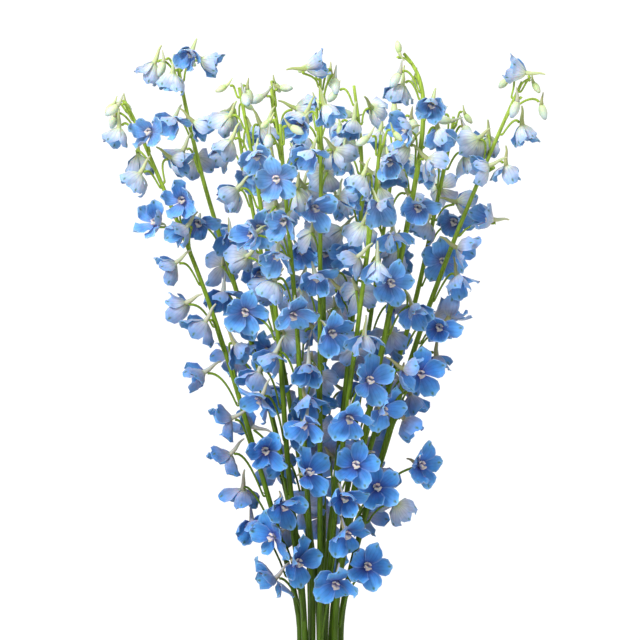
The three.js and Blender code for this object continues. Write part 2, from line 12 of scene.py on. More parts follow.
import bmesh
import bpy
import numpy as np
from mathutils import Matrix, Vector

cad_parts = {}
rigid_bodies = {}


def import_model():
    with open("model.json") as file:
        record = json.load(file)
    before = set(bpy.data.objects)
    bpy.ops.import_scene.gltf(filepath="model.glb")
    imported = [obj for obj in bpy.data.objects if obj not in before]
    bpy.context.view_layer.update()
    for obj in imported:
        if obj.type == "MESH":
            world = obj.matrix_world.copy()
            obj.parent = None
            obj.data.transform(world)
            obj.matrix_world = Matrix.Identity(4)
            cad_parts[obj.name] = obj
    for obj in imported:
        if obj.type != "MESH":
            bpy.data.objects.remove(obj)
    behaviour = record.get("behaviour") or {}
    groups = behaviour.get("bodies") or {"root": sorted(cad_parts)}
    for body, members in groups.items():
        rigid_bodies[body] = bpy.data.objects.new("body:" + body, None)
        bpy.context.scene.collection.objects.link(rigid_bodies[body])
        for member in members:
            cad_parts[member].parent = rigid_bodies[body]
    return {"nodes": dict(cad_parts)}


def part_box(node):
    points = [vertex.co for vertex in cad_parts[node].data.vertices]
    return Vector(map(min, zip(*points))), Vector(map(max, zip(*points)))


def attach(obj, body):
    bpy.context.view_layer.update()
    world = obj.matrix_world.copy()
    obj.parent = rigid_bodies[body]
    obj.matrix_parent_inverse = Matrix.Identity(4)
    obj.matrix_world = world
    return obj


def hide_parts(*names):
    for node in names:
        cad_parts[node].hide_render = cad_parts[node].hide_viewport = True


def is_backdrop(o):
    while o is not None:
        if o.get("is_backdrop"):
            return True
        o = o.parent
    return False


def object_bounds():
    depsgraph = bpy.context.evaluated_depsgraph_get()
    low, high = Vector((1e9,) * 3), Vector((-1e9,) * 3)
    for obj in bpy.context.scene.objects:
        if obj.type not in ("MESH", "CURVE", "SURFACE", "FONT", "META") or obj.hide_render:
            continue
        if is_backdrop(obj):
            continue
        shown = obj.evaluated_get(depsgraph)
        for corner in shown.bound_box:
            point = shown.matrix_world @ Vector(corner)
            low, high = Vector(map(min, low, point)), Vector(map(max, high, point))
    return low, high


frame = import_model()
frame_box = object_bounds()
MM = 0.001
print("nodes", len(frame["nodes"]), "box", [tuple(round(c, 3) for c in corner) for corner in frame_box])

# %% [markdown]
# The camera comes first, because it says how much of the plant shows. The picture looks straight at the
# flowers from far away, so that near and far blooms are nearly the same size. At 2.25 m the lens is chosen
# so that 640 mm fills the picture's width.

# %% Camera
CAMERA_DISTANCE = 2.25
CAMERA_HEIGHT = 0.535
PICTURE_WIDTH = 0.64
SENSOR = 36

bpy.ops.object.camera_add(location=(0, -CAMERA_DISTANCE, CAMERA_HEIGHT), rotation=(math.radians(90), 0, 0))
camera = bpy.context.object
camera.data.sensor_width = SENSOR
camera.data.lens = SENSOR * CAMERA_DISTANCE / PICTURE_WIDTH
bpy.context.scene.camera = camera
print("lens", round(camera.data.lens, 1), "mm")

# %% [markdown]
# The light is soft, as in a white studio: it comes from above more than from below, and one broad lamp at
# the upper left gives each petal a bright side and a shaded one. What the camera sees behind the flowers is
# plain white. The floor is matt white near the pot, where it takes a soft shadow, and turns into the same
# plain white further out, so that no horizon shows. The Standard view keeps white white.
#
# The white behind the flowers carries a fine even grain, which the picture clips away. The denoiser judges
# how noisy a thing is by what lies round it, and plain white alone would leave the topmost flowers
# speckled.

# %% Helpers for nodes and colours
def linear(hex_colour):
    """An sRGB hex colour as linear red, green, blue and alpha."""
    channels = [int(hex_colour[i:i + 2], 16) / 255 for i in (1, 3, 5)]
    return tuple(c / 12.92 if c <= 0.04045 else ((c + 0.055) / 1.055) ** 2.4 for c in channels) + (1.0,)


def add_node(tree, kind, inputs=None, stops=(), **named):
    """Adds one node. Inputs start with a capital in Blender and settings don't, so both are given by name.

    An input takes a value, a socket, or a node, which gives its first output. Inputs that share one name
    are given by their number. Stops are the places and colours of a ramp.
    """
    node = tree.nodes.new("ShaderNode" + kind)
    if stops:
        ramp = node.color_ramp.elements
        ramp.remove(ramp[1])
        ramp[0].position, ramp[0].color = stops[0][0], linear(stops[0][1])
        for position, colour in stops[1:]:
            ramp.new(position).color = linear(colour)
    inputs = dict(inputs or {})
    for name, value in named.items():
        if name[0].isupper():
            inputs[name.replace("_", " ")] = value
        else:
            setattr(node, name, value)
    for name, value in inputs.items():
        if isinstance(value, bpy.types.Node):
            value = value.outputs[0]
        if isinstance(value, bpy.types.NodeSocket):
            tree.links.new(value, node.inputs[name])
        else:
            node.inputs[name].default_value = value
    return node


def noise_scale(size):
    """The Scale of a noise whose patches are about this many millimetres wide."""
    return 1 / (size * MM)


def new_material(name):
    """An empty material, and the function that adds a node to it."""
    material = bpy.data.materials.new(name)
    material.use_nodes = True
    material.node_tree.nodes.clear()
    return material, partial(add_node, material.node_tree)


def finish_surface(add, relief, strength, depth, **values):
    """Ends a material: one Principled surface with a relief of this depth in millimetres."""
    bump = add("Bump", Height=relief, Strength=strength, Distance=depth * MM)
    skin = add("BsdfPrincipled", Normal=bump, **values)
    add("OutputMaterial", Surface=skin)


print("white is", linear("#ffffff"))

# %% Light
SKY_HEIGHTS = (-0.7, 0.7)
SKY_STRENGTHS = (0.2, 0.98)
GRAIN = (0.9, 1.3)
LAMP_PLACE = Vector((-1.5, -2.2, 2.4))
LAMP_AIM = Vector((0, 0, 0.5))
LAMP_SIZE = 1.0
LAMP_WATTS = 105
WHITE = (1, 1, 1, 1)

world = bpy.data.worlds.new("white_studio")
world.use_nodes = True
world.node_tree.nodes.clear()
add = partial(add_node, world.node_tree)
direction = add("TexCoord").outputs["Generated"]
height = add("SeparateXYZ", Vector=direction).outputs["Z"]
sky = add("MapRange", Value=height, From_Min=SKY_HEIGHTS[0], From_Max=SKY_HEIGHTS[1],
          To_Min=SKY_STRENGTHS[0], To_Max=SKY_STRENGTHS[1])
walls = add("Background", Strength=sky, Color=linear("#fbfdff"))
grain = add("TexWhiteNoise", Vector=direction).outputs["Value"]
bright = add("MapRange", Value=grain, To_Min=GRAIN[0], To_Max=GRAIN[1])
white = add("Background", Strength=bright, Color=WHITE)
seen = add("LightPath").outputs["Is Camera Ray"]
add("OutputWorld", Surface=add("MixShader", {0: seen, 1: walls, 2: white}))
bpy.context.scene.world = world
bpy.context.scene.view_settings.view_transform = "Standard"

bpy.ops.object.light_add(type="AREA", location=LAMP_PLACE)
lamp = bpy.context.object
lamp.rotation_euler = (LAMP_AIM - LAMP_PLACE).to_track_quat("-Z", "Y").to_euler()
lamp.data.size = LAMP_SIZE
lamp.data.energy = LAMP_WATTS
print("lamp", LAMP_WATTS, "W,", round((LAMP_AIM - LAMP_PLACE).length, 1), "m away")

# %% Floor
FLOOR_RADIUS = 14
SHADOW_REACH = 0.5
SHADOW_FADE = 0.75
GLOW = 1.1

floor_material, add = new_material("matt_white_sweep")
far = add("VectorMath", {0: add("TexCoord").outputs["Object"]}, operation="LENGTH").outputs["Value"]
fade = add("MapRange", Value=far, From_Min=SHADOW_REACH, From_Max=SHADOW_REACH + SHADOW_FADE)
seen = add("LightPath").outputs["Is Camera Ray"]
glow_share = add("Math", {0: fade, 1: seen}, operation="MULTIPLY")
matt = add("BsdfDiffuse", Color=linear("#e4e4e2"))
glow = add("Emission", Color=WHITE, Strength=GLOW)
add("OutputMaterial", Surface=add("MixShader", {0: glow_share, 1: matt, 2: glow}))
floor_material.cycles.emission_sampling = "NONE"

bpy.ops.mesh.primitive_circle_add(vertices=96, radius=FLOOR_RADIUS, fill_type="NGON")
floor = bpy.context.object
floor.name = "floor"
floor.data.materials.append(floor_material)
floor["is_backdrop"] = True
print("floor", 2 * FLOOR_RADIUS, "m across")

# %% [markdown]
# ## How a delphinium sets out its flowers
# A spike's florets stand on thin stalks round the stem, each 137.5 degrees on from the last. The lowest
# open first, so they are wide and low ones have long stalks, while the tip holds nodding buds. The frame's
# solids were set out by one rule, with a seeded draw for each small difference, and this file follows that
# same rule, number for number. So each fine floret lands exactly on the plain one that it stands for.
# Lengths are in millimetres.

# %% The plant's measures
STEM_FOOT = 74
STEM_STRAIGHT_TO = (140, 190)
STEM_RADII = (4, 1.5)
OUT = 20.5
INN = 10.5
SEPALS = 5
SEPAL_LENGTH = 23
SEPAL_HALF_WIDTH = 0.38
SEPAL_BULGE = 0.13
SEPAL_ANGLES = (22, 70)
THROAT_RADIUS = 2.4
SPUR_LENGTH = 19
SPUR_LIFT = 6
BUD_SPUR_SHARE = 0.7
BUD_NOSE = 19
BUD_RADIUS = 5.3
STALK_RADIUS = 1
STALK_OFF_STEM = 2.2
STALK_LIFT = 0.7
STALK_LEAN = 0.12
HOOK_LONGEST = 10
HOOK_OF_REACH = 0.6
HOOK_DROP = 0.35
STALK_END_BEHIND = 2.8
STALK_END_BELOW = 1.8
shut, wide = [THROAT_RADIUS + SEPAL_LENGTH * math.sin(math.radians(angle)) for angle in SEPAL_ANGLES]
print("sepals reach", round(shut), "mm out when shut and", round(wide), "mm when open")

# %% [markdown]
# A pair's first value is for a spike's lowest floret, or its oldest bud, and the second for its last
# floret, or its youngest bud. A play is the most that one flower differs from the rule to either side.

# %% How flowers stand on a spike
GOLDEN_ANGLE = 137.5
NEXT_SPIKE_TURN = 77
FLORET_SPACING = 24
CLOSER_ABOVE = 0.6
FLORET_REACH = (24, 16)
FLORET_RISE = 15
LOW_RISE = 18
LOWEST_RISE = 26
FLORET_PITCH = (-18, -50)
FLORET_OPEN = (0.85, 0.1)
FLORET_SIZE = (1.03, 0.95)
BUD_REACH = (20, 12)
BUD_RISE = (24, 14)
BUD_SIZE = (1.05, 0.65)
BUD_OVER_TIP = 4
HEIGHT_PLAY = 5
TWIST_PLAY = 45
PITCH_PLAY = 26
ROLL_PLAY = 20
OPEN_PLAY = 0.22
CROWD_FROM = 290
CROWD_HEIGHT = 330
CROWD_TURN = 0.4
SEED = 43
print("flowers in one turn of the stem", round(360 / GOLDEN_ANGLE, 2))

# %% [markdown]
# Each spike's row gives where its foot stands in the crown (ring radius, degrees), the heights of its
# lowest and last open floret, its number of buds, and its route above the straight foot. The flowers that
# show best are listed as seen: the throat's x and height, the way it faces in degrees round from +X, its
# pitch, and its openness unless it is a bud. OUT and INN are the radii of the crown's two rings.

# %% The fourteen spikes
Spike = namedtuple("Spike", "foot lowest last buds route seen", defaults=((),))
SPIKES = (
    Spike(foot=(OUT, 180), lowest=337, last=744, buds=4, route=(
        (-24, -2, 255), (-62, -6, 394), (-113, -8, 559), (-177, -12, 716), (-194, -14, 752),
    ), seen=(
        (-202, 749, 180, -40), (-168, 722, -120, 10, 0.5), (-200, 727, 180, -50, 0.3),
        (-181, 702, 180, -75, 0.3), (-179, 682, 180, -45, 0.35), (-163, 644, 180, -15, 0.4),
        (-138, 644, 0, 20, 0.4), (-142, 625, 180, -60, 0.3), (-144, 593, 180, -25, 0.45),
        (-128, 555, 180, -35, 0.45), (-114, 535, 180, -45, 0.4), (-116, 484, 180, -20, 0.6),
        (-88, 440, 180, -10, 0.7), (-58, 337, -30, -35, 0.7),
    )),
    Spike(foot=(OUT, 135), lowest=395, last=796, buds=2, route=(
        (-19, 18, 260), (-40, 24, 400), (-76, 28, 535), (-119, 32, 679), (-141, 34, 775), (-142, 34, 797),
    ), seen=(
        (-146, 804, 200, -35, 0.15), (-134, 800, -90, -75, 0.15), (-118, 791, 0, -20, 0.15),
        (-148, 784, 180, -70, 0.35), (-139, 740, -90, -35, 0.6), (-127, 734, 0, -30, 0.2),
        (-138, 706, 180, -50, 0.3), (-127, 703, 90, -20, 0.5), (-123, 634, -90, -15, 0.6),
        (-100, 593, 90, -10, 0.7), (-98, 563, -100, -20, 0.6), (-87, 537, -100, -20, 0.7),
    )),
    Spike(foot=(OUT, 225), lowest=285, last=748, buds=3, route=(
        (-18, -20, 270), (-31, -30, 385), (-42, -40, 529), (-60, -47, 660), (-69, -51, 710),
        (-79, -54, 762),
    ), seen=(
        (-43, 297, -110, 0, 0.9), (-30, 324, -90, -10, 0.95), (-46, 356, -100, -20, 0.7),
        (-52, 409, -100, 0, 0.7), (-60, 484, 200, -60, 0.4), (-74, 543, -90, -15, 0.8),
        (-59, 627, -90, -10, 0.8), (-62, 698, -100, -40, 0.7),
    )),
    Spike(foot=(INN, 150), lowest=320, last=752, buds=3, route=(
        (-10, 9, 270), (-16, 16, 400), (-26, 24, 555), (-38, 30, 695), (-50, 32, 772),
    ), seen=(
        (-36, 770, 0, -5), (-57, 761, 200, -25), (-25, 750, 0, 15, 0.2),
    )),
    Spike(foot=(OUT, 270), lowest=280, last=760, buds=3, route=(
        (0, -24, 260), (0, -45, 400), (0, -65, 560), (1, -80, 700), (0, -84, 776),
    ), seen=(
        (-10, 776, 0, -5, 0.15), (4, 741, -30, -60, 0.3), (-25, 734, 220, -70, 0.3),
        (-16, 724, -90, -50, 0.3), (-5, 700, -10, -20, 0.5), (-15, 644, -90, 0, 0.7),
        (-14, 580, -110, -30, 0.6), (10, 526, -60, -20, 0.8), (-11, 494, -100, -75, 0.3),
        (-14, 462, -50, -50, 0.6), (19, 423, 30, -20, 0.6), (7, 413, -90, -70, 0.5),
    )),
    Spike(foot=(0, 0), lowest=330, last=752, buds=3, route=(
        (4, 0, 260), (17, 2, 390), (31, 4, 520), (41, 5, 640), (41, 5, 710), (34, 5, 770),
    ), seen=(
        (17, 765, 200, -50), (32, 741, 150, 20), (20, 730, 200, -85), (30, 700, -70, -60, 0.4),
        (52, 680, -10, -30, 0.4), (18, 657, 220, -60, 0.35), (28, 601, -110, -10, 0.7),
        (20, 565, -20, -50, 0.5),
    )),
    Spike(foot=(OUT, 315), lowest=290, last=765, buds=3, route=(
        (18, -18, 270), (40, -28, 400), (66, -38, 530), (84, -46, 620), (98, -50, 700), (101, -50, 744),
        (98, -50, 768), (91, -49, 784), (82, -48, 796),
    ), seen=(
        (74, 796, 180, 80), (73, 771, 180, -80), (92, 773, 90, -30), (80, 762, 180, -70, 0.2),
        (92, 746, 200, -60, 0.3), (98, 722, -90, -60, 0.5), (85, 720, -135, -25, 0.4),
        (104, 692, 0, -30, 0.5), (73, 685, -120, -75, 0.3), (95, 646, -90, -15, 0.6),
        (71, 621, -60, -60, 0.5), (68, 574, -70, -10, 0.8), (61, 450, -50, -20, 0.9),
        (57, 371, -90, 10, 0.8), (50, 287, -80, 10, 0.8),
    )),
    Spike(foot=(INN, 6), lowest=375, last=728, buds=4, route=(
        (18, 9, 280), (52, 26, 410), (93, 34, 540), (119, 38, 655), (133, 40, 721), (136, 40, 742),
    ), seen=(
        (132, 736, 180, 5), (121, 719, -90, -10, 0.3), (135, 635, -90, -10, 0.6),
        (108, 635, 180, -50, 0.35), (124, 595, -90, -10, 1), (93, 460, -30, -70, 0.3),
        (54, 396, 170, 10, 0.6),
    )),
    Spike(foot=(OUT, 0), lowest=350, last=756, buds=4, route=(
        (25, 0, 260), (62, -4, 400), (97, -6, 515), (130, -8, 605), (156, -10, 669), (182, -12, 730),
        (201, -12, 772),
    ), seen=(
        (200, 780, 180, -5, 0.1), (196, 753, 180, -70), (221, 751, 0, -75), (201, 730, 0, -75, 0.15),
        (172, 711, 180, -10, 0.35), (168, 689, 180, -10, 0.45), (185, 690, 0, -75, 0.5),
        (163, 640, 180, -10, 0.3), (136, 608, 0, -20, 0.4), (137, 580, -45, -60, 0.6),
        (130, 539, 0, 40, 0.5), (119, 529, -90, 0, 0.6), (116, 501, -45, -75, 0.5),
        (101, 484, -90, -10, 0.9), (84, 439, 0, -45, 0.6), (100, 392, -50, 0, 0.8),
        (83, 374, -40, -30, 0.7), (77, 352, 70, -40, 0.6),
    )),
    Spike(foot=(OUT, 90), lowest=330, last=738, buds=3, route=(
        (-4, 26, 270), (-24, 48, 410), (-50, 70, 550), (-76, 88, 680), (-89, 95, 755),
    )),
    Spike(foot=(OUT, 45), lowest=345, last=738, buds=3, route=(
        (17, 20, 270), (34, 46, 410), (54, 72, 550), (74, 94, 680), (83, 100, 755),
    )),
    Spike(foot=(INN, 78), lowest=300, last=748, buds=3, route=(
        (3, 18, 270), (4, 48, 410), (4, 80, 550), (0, 108, 690), (-4, 118, 766),
    )),
    Spike(foot=(INN, 222), lowest=280, last=705, buds=3, route=(
        (-8, -12, 270), (-15, -44, 410), (-24, -76, 550), (-34, -98, 665), (-38, -104, 722),
    ), seen=(
        (-19, 278, 100, -10, 0.9), (-24, 392, -90, 0, 0.9), (-26, 547, -90, -20, 0.9),
        (-41, 672, -100, -10, 0.8), (-19, 695, -120, -40, 0.6),
    )),
    Spike(foot=(INN, 294), lowest=300, last=695, buds=3, route=(
        (8, -14, 270), (22, -46, 410), (38, -76, 540), (52, -96, 650), (58, -102, 712),
    ), seen=(
        (26, 332, -60, -60, 0.8), (25, 400, -120, -10, 0.8), (48, 481, -75, -15, 0.9),
        (43, 526, -60, -60, 0.5), (55, 595, -90, -85, 0.1), (47, 598, 190, -50, 0.5),
        (56, 649, -60, -40, 0.4),
    )),
)
print("flowers listed as seen", sum(len(spike.seen) for spike in SPIKES))

# %% [markdown]
# A stem's line is a smooth curve through its points. The same curve is used twice: as a formula, to find
# where a stalk leaves the stem, and later as a Bezier curve, whose handles are a third of the slope at each
# point.

# %% Helpers for measures
def mix(a, b, share):
    return (1 - share) * a + share * b


def unit(vector):
    return vector / math.sqrt(vector @ vector)


def draws(seed):
    """The same numbers between 0 and 1 each time."""
    state = seed
    while True:
        state = state * 16807 % 2147483647
        yield state / 2147483647


print("a stem's radius halfway up is", mix(*STEM_RADII, 0.5), "mm")

# %% The stem's line
SLOPE_STEP = 0.0001
HALVINGS = 30


def stem_points(foot, route):
    ring, turn = foot
    x, y = ring * math.cos(math.radians(turn)), ring * math.sin(math.radians(turn))
    straight = [(x, y, height) for height in (STEM_FOOT, *STEM_STRAIGHT_TO)]
    return np.array([*straight, *route], float)


def point_on(points, t):
    """A point on the smooth curve through the points, for t from 0 to 1."""
    count = len(points)
    along = (count - 1) * t
    k = min(math.floor(along), count - 2)
    w = along - k
    b, c = points[k], points[k + 1]
    a = points[k - 1] if k > 0 else 2 * b - c
    d = points[k + 2] if k + 2 < count else 2 * c - b
    slope_b, slope_c = 0.5 * (c - a), 0.5 * (d - b)
    square = -3 * b + 3 * c - 2 * slope_b - slope_c
    cube = 2 * b - 2 * c + slope_b + slope_c
    return b + slope_b * w + square * w * w + cube * w * w * w


def bezier_point(corners, t):
    a, b, c, d = corners
    s = 1 - t
    return s * s * s * a + 3 * s * s * t * b + 3 * s * t * t * c + t * t * t * d


def slope_of(curve, points, t):
    low, high = max(t - SLOPE_STEP, 0), min(t + SLOPE_STEP, 1)
    return unit(curve(points, high) - curve(points, low))


def share_at_height(points, height):
    low, high = 0.0, 1.0
    for _ in range(HALVINGS):
        middle = (low + high) / 2
        if point_on(points, middle)[2] < height:
            low = middle
        else:
            high = middle
    return (low + high) / 2


def stem_radius(share):
    return mix(*STEM_RADII, share)


stems = [stem_points(spike.foot, spike.route) for spike in SPIKES]
print("stems", len(stems), "tips at", sorted(round(points[-1][2]) for points in stems))

# %% [markdown]
# A flower has a frame of its own: z looks out of its mouth, y is as near up as it can be, and a small roll
# turns it. Its stalk leaves the stem, runs up beside it and arches over to the flower's back, under the
# spur.

# %% The flower's frame and stalk
UP = np.array((0.0, 0.0, 1.0))


def flower_frame(flower):
    aside = unit(np.cross(UP, flower["facing"]))
    up = np.cross(flower["facing"], aside)
    c, s = math.cos(flower["roll"]), math.sin(flower["roll"])
    frame_of = np.eye(4)
    frame_of[:3, 0] = c * aside + s * up
    frame_of[:3, 1] = c * up - s * aside
    frame_of[:3, 2] = flower["facing"]
    frame_of[:3, 3] = flower["at"]
    return frame_of


def stalk_corners(flower):
    """The four corners of the stalk's Bezier line, from the stem to the flower's back."""
    along, outward, facing = flower["along"], flower["outward"], flower["facing"]
    hook = min(HOOK_LONGEST, flower["reach"] * HOOK_OF_REACH)
    up = np.cross(facing, unit(np.cross(UP, facing)))
    start = flower["root"] + outward * (flower["thick"] + STALK_OFF_STEM) + along * STALK_OFF_STEM
    return (
        start,
        start + along * flower["rise"] * STALK_LIFT + outward * flower["reach"] * STALK_LEAN,
        flower["at"] - facing * hook - up * hook * HOOK_DROP,
        flower["at"] - facing * STALK_END_BEHIND - up * STALK_END_BELOW,
    )


def sepal_point(turn, share, across, length, angle):
    bulge = SEPAL_BULGE * math.sin(math.pi * share)
    out = THROAT_RADIUS + length * (share * math.sin(angle) + bulge * math.cos(angle))
    forward = length * (share * math.cos(angle) - bulge * math.sin(angle))
    aside = across * SEPAL_HALF_WIDTH * length
    c, s = math.cos(turn), math.sin(turn)
    return out * c - aside * s, out * s + aside * c, forward


def sepal_angle(openness):
    return math.radians(mix(*SEPAL_ANGLES, openness))


tip = sepal_point(turn=0, share=1, across=0, length=SEPAL_LENGTH, angle=sepal_angle(1))
print("an open sepal ends", round(tip[0], 1), "mm out and", round(tip[2], 1), "mm forward")

# %% [markdown]
# Flowers push each other aside as they open. Small balls stand for each flower and its stalk, and a new
# flower takes the first place, near the one that it would like, where its balls clear all those before it.

# %% Room for each flower
SEPAL_BALLS = ((0.35, 0), (0.65, 0.55), (0.65, -0.55), (0.94, 0.32), (0.94, -0.32))
SEPAL_BALL = 4.3
BUD_BALLS = (0.1, 0.4, 0.75)
SPUR_BALLS = (0.35, 0.7, 1)
SPUR_BALL = 2.8
STALK_BALL = 1.8
STALK_BALL_GAP = 4


def own_balls(wish):
    """The centres and radii of a flower's balls in its own frame."""
    size = wish["size"]
    if wish["bud"]:
        balls = [((0, 0, BUD_NOSE * share * size), BUD_RADIUS * size) for share in BUD_BALLS]
    else:
        angle = sepal_angle(wish["open"])
        turns = [math.radians(90 + i * 360 / SEPALS) for i in range(SEPALS)]
        balls = [(sepal_point(turn, share, across, SEPAL_LENGTH * size, angle), SEPAL_BALL * size)
                 for turn in turns for share, across in SEPAL_BALLS]
    spur = SPUR_LENGTH * size * (BUD_SPUR_SHARE if wish["bud"] else 1)
    balls += [((0, share * SPUR_LIFT, -share * spur), SPUR_BALL) for share in SPUR_BALLS]
    return np.array([centre for centre, _ in balls], float), np.array([radius for _, radius in balls])


def balls_of(flower, own):
    """All of a placed flower's balls, those on its stalk too, and which ones these are."""
    frame_of = flower_frame(flower)
    centres = own[0] @ frame_of[:3, :3].T + frame_of[:3, 3]
    steps = math.ceil((flower["reach"] + flower["rise"]) / STALK_BALL_GAP)
    stalk = bezier_point(stalk_corners(flower), np.arange(steps)[:, None] / steps)
    radii = np.append(own[1], np.full(steps, STALK_BALL))
    on_stalk = np.arange(len(radii)) >= len(own[1])
    return np.vstack([centres, stalk]), radii, on_stalk


print("balls for a floret", SEPALS * len(SEPAL_BALLS) + len(SPUR_BALLS),
      "and for a bud", len(BUD_BALLS) + len(SPUR_BALLS))

# %% The balls in the way
SAME_SPIKE = 0.75
NEIGHBOURS_WITHIN = 110
LINE_STEPS = 200
STEM_BALL_GAP = 5
STEM_BALL_MARGIN = 0.8


class Taken:
    """The balls that are in the way so far."""

    def __init__(self):
        self.centres = np.zeros((0, 3))
        self.radii = np.zeros(0)
        self.spikes = np.zeros(0, int)
        self.flowers = np.zeros(0, bool)

    def add(self, centres, radii, spike, flowers):
        self.centres = np.vstack([self.centres, centres])
        self.radii = np.append(self.radii, radii)
        self.spikes = np.append(self.spikes, np.full(len(radii), spike))
        self.flowers = np.append(self.flowers, flowers)

    def clears(self, centres, radii, on_stalk, spike):
        near = ((self.centres - centres[0]) ** 2).sum(axis=1) < NEIGHBOURS_WITHIN ** 2
        apart = ((centres[:, None] - self.centres[near][None]) ** 2).sum(axis=2)
        same = (self.spikes[near] == spike)[None]
        least = (radii[:, None] + self.radii[near][None]) * np.where(same, SAME_SPIKE, 1)
        own_green = same & on_stalk[:, None] & ~self.flowers[near][None]
        return bool(((apart > least ** 2) | own_green).all())


taken = Taken()
for index, points in enumerate(stems):
    line = np.array([point_on(points, i / LINE_STEPS) for i in range(LINE_STEPS + 1)])
    count = math.ceil(np.sqrt(((line[1:] - line[:-1]) ** 2).sum(axis=1)).sum() / STEM_BALL_GAP)
    centres = np.array([point_on(points, i / count) for i in range(count + 1)])
    radii = np.array([stem_radius(i / count) + STEM_BALL_MARGIN for i in range(count + 1)])
    taken.add(centres, radii, index, np.zeros(count + 1, bool))
print("balls along the stems", len(taken.radii))

# %% [markdown]
# Each spike first wishes for its flowers as if it stood alone: wide open and nearly level at the bottom,
# nodding bells above, then buds. A flower that is seen takes over the wish nearest its height. Its stalk is
# square to the stem, and leans to the near side as far as its length is not used up sideways, or to the far
# side if the flower looks away. The seen flowers come first, then the others, each from the lowest to the
# highest. Each takes the first clear place, or is left out where the bunch is too dense for it.

# %% Flowers that are seen
LOOKS_AWAY = 0.3


def take_seen(wishes, points, x, height, face, pitch, openness=None):
    """Gives the wish nearest a seen flower's height that flower's place and face."""
    free = [wish for wish in wishes if not wish["seen"] and wish["bud"] == (openness is None)]
    wish = min(free, key=lambda wish: abs(wish["height"] - height))
    share = share_at_height(points, height)
    lean = slope_of(point_on, points, share)
    aside = (x - point_on(points, share)[0]) * lean[2]
    reach = max(abs(aside), wish["reach"])
    side = 1 if math.sin(math.radians(face)) > LOOKS_AWAY else -1
    azimuth = side * math.acos(aside / reach)
    wish.update(seen=True, height=height + aside * lean[0], azimuth=azimuth, reach=reach,
                twist=math.radians(face) - azimuth, pitch=math.radians(pitch))
    if openness is not None:
        wish["open"] = openness


faces = [face for spike in SPIKES for _, _, face, *_ in spike.seen]
print("seen from behind", sum(math.sin(math.radians(face)) > LOOKS_AWAY for face in faces), "of", len(faces))

# %% What each spike wishes for
def wishes_of(index, draw):
    _, lowest, last, buds, _, seen = SPIKES[index]
    points = stems[index]
    florets = round((last - lowest) / FLORET_SPACING)
    tip = points[-1][2]
    wishes = []
    for k in range(florets + buds):
        bud = k >= florets
        share = 1 if bud else k / florets
        bud_share = (k - florets + 1) / buds if bud else 0
        closer = share * (1 + CLOSER_ABOVE * (1 - share))
        if bud:
            height = mix(last, tip + BUD_OVER_TIP, bud_share)
        else:
            height = mix(lowest, last, closer) + mix(-HEIGHT_PLAY, HEIGHT_PLAY, next(draw))
        below = 1 - share
        rise = mix(*BUD_RISE, bud_share) if bud else FLORET_RISE + LOW_RISE * below + LOWEST_RISE * below ** 3
        axis = point_on(points, share_at_height(points, height - rise))
        crowd = min(max((height - CROWD_FROM) / CROWD_HEIGHT, 0), 1)
        spiral = (k * GOLDEN_ANGLE + index * NEXT_SPIKE_TURN) % 360 - 180
        wishes.append({
            "bud": bud, "seen": False, "height": height, "rise": rise, "index": index,
            "share": share, "bud_share": bud_share,
            "azimuth": math.atan2(axis[1], axis[0]) + math.radians(spiral) * mix(CROWD_TURN, 1, crowd),
            "reach": mix(*BUD_REACH, bud_share) if bud else mix(*FLORET_REACH, share ** 2),
            "twist": math.radians(mix(-TWIST_PLAY, TWIST_PLAY, next(draw))),
            "pitch": math.radians(mix(*FLORET_PITCH, share) + mix(-PITCH_PLAY, PITCH_PLAY, next(draw))),
            "roll": math.radians(mix(-ROLL_PLAY, ROLL_PLAY, next(draw))),
            "open": min(max(mix(*FLORET_OPEN, share) + mix(-OPEN_PLAY, OPEN_PLAY, next(draw)), 0), 1),
            "size": mix(*BUD_SIZE, bud_share) if bud else mix(*FLORET_SIZE, share),
        })
    for flower in seen:
        take_seen(wishes, points, *flower)
    return wishes


draw = draws(SEED)
wishes = [wish for index in range(len(SPIKES)) for wish in wishes_of(index, draw)]
wishes.sort(key=lambda wish: (not wish["seen"], wish["height"]))
print("flowers wished for", len(wishes))

# %% [markdown]
# A wish that is not clear tilts, then turns round the stem, and then tries a longer or shorter stalk.

# %% A clear place for each
REACHES = (1, 1.3, 0.75, 1.65)
TURNS = (0, 28, -28, 56, -56, 84, -84, 112, -112)
TILTS = (0, 24, -24)
RISE_KEPT = 0.7


def stalk_root(wish, stretch):
    """Where the stalk leaves the stem, when it is stretched like this."""
    points = stems[wish["index"]]
    rise = wish["rise"] * mix(RISE_KEPT, 1, stretch)
    share = share_at_height(points, wish["height"] - rise)
    return {**wish, "rise": rise, "reach": wish["reach"] * stretch, "root": point_on(points, share),
            "along": slope_of(point_on, points, share), "thick": stem_radius(share)}


def flower_at(rooted, turn, tilt):
    along = rooted["along"]
    heading = rooted["azimuth"] + math.radians(turn)
    outward = np.array((math.cos(heading), math.sin(heading), 0))
    outward = unit(outward - along * (outward @ along))
    face, lift = heading + rooted["twist"], rooted["pitch"] + math.radians(tilt)
    facing = np.array((math.cos(face) * math.cos(lift), math.sin(face) * math.cos(lift), math.sin(lift)))
    at = rooted["root"] + outward * rooted["reach"] + along * rooted["rise"]
    return {**rooted, "outward": outward, "at": at, "facing": facing}


def clear_place(wish):
    own = own_balls(wish)
    for stretch in REACHES:
        rooted = stalk_root(wish, stretch)
        for turn in TURNS:
            for tilt in TILTS:
                flower = flower_at(rooted, turn, tilt)
                centres, radii, on_stalk = balls_of(flower, own)
                if taken.clears(centres, radii, on_stalk, wish["index"]):
                    taken.add(centres, radii, wish["index"], ~on_stalk)
                    return flower
    return None


flowers = [flower for flower in map(clear_place, wishes) if flower]
print("flowers placed", len(flowers), "of", len(wishes), "buds", sum(flower["bud"] for flower in flowers))
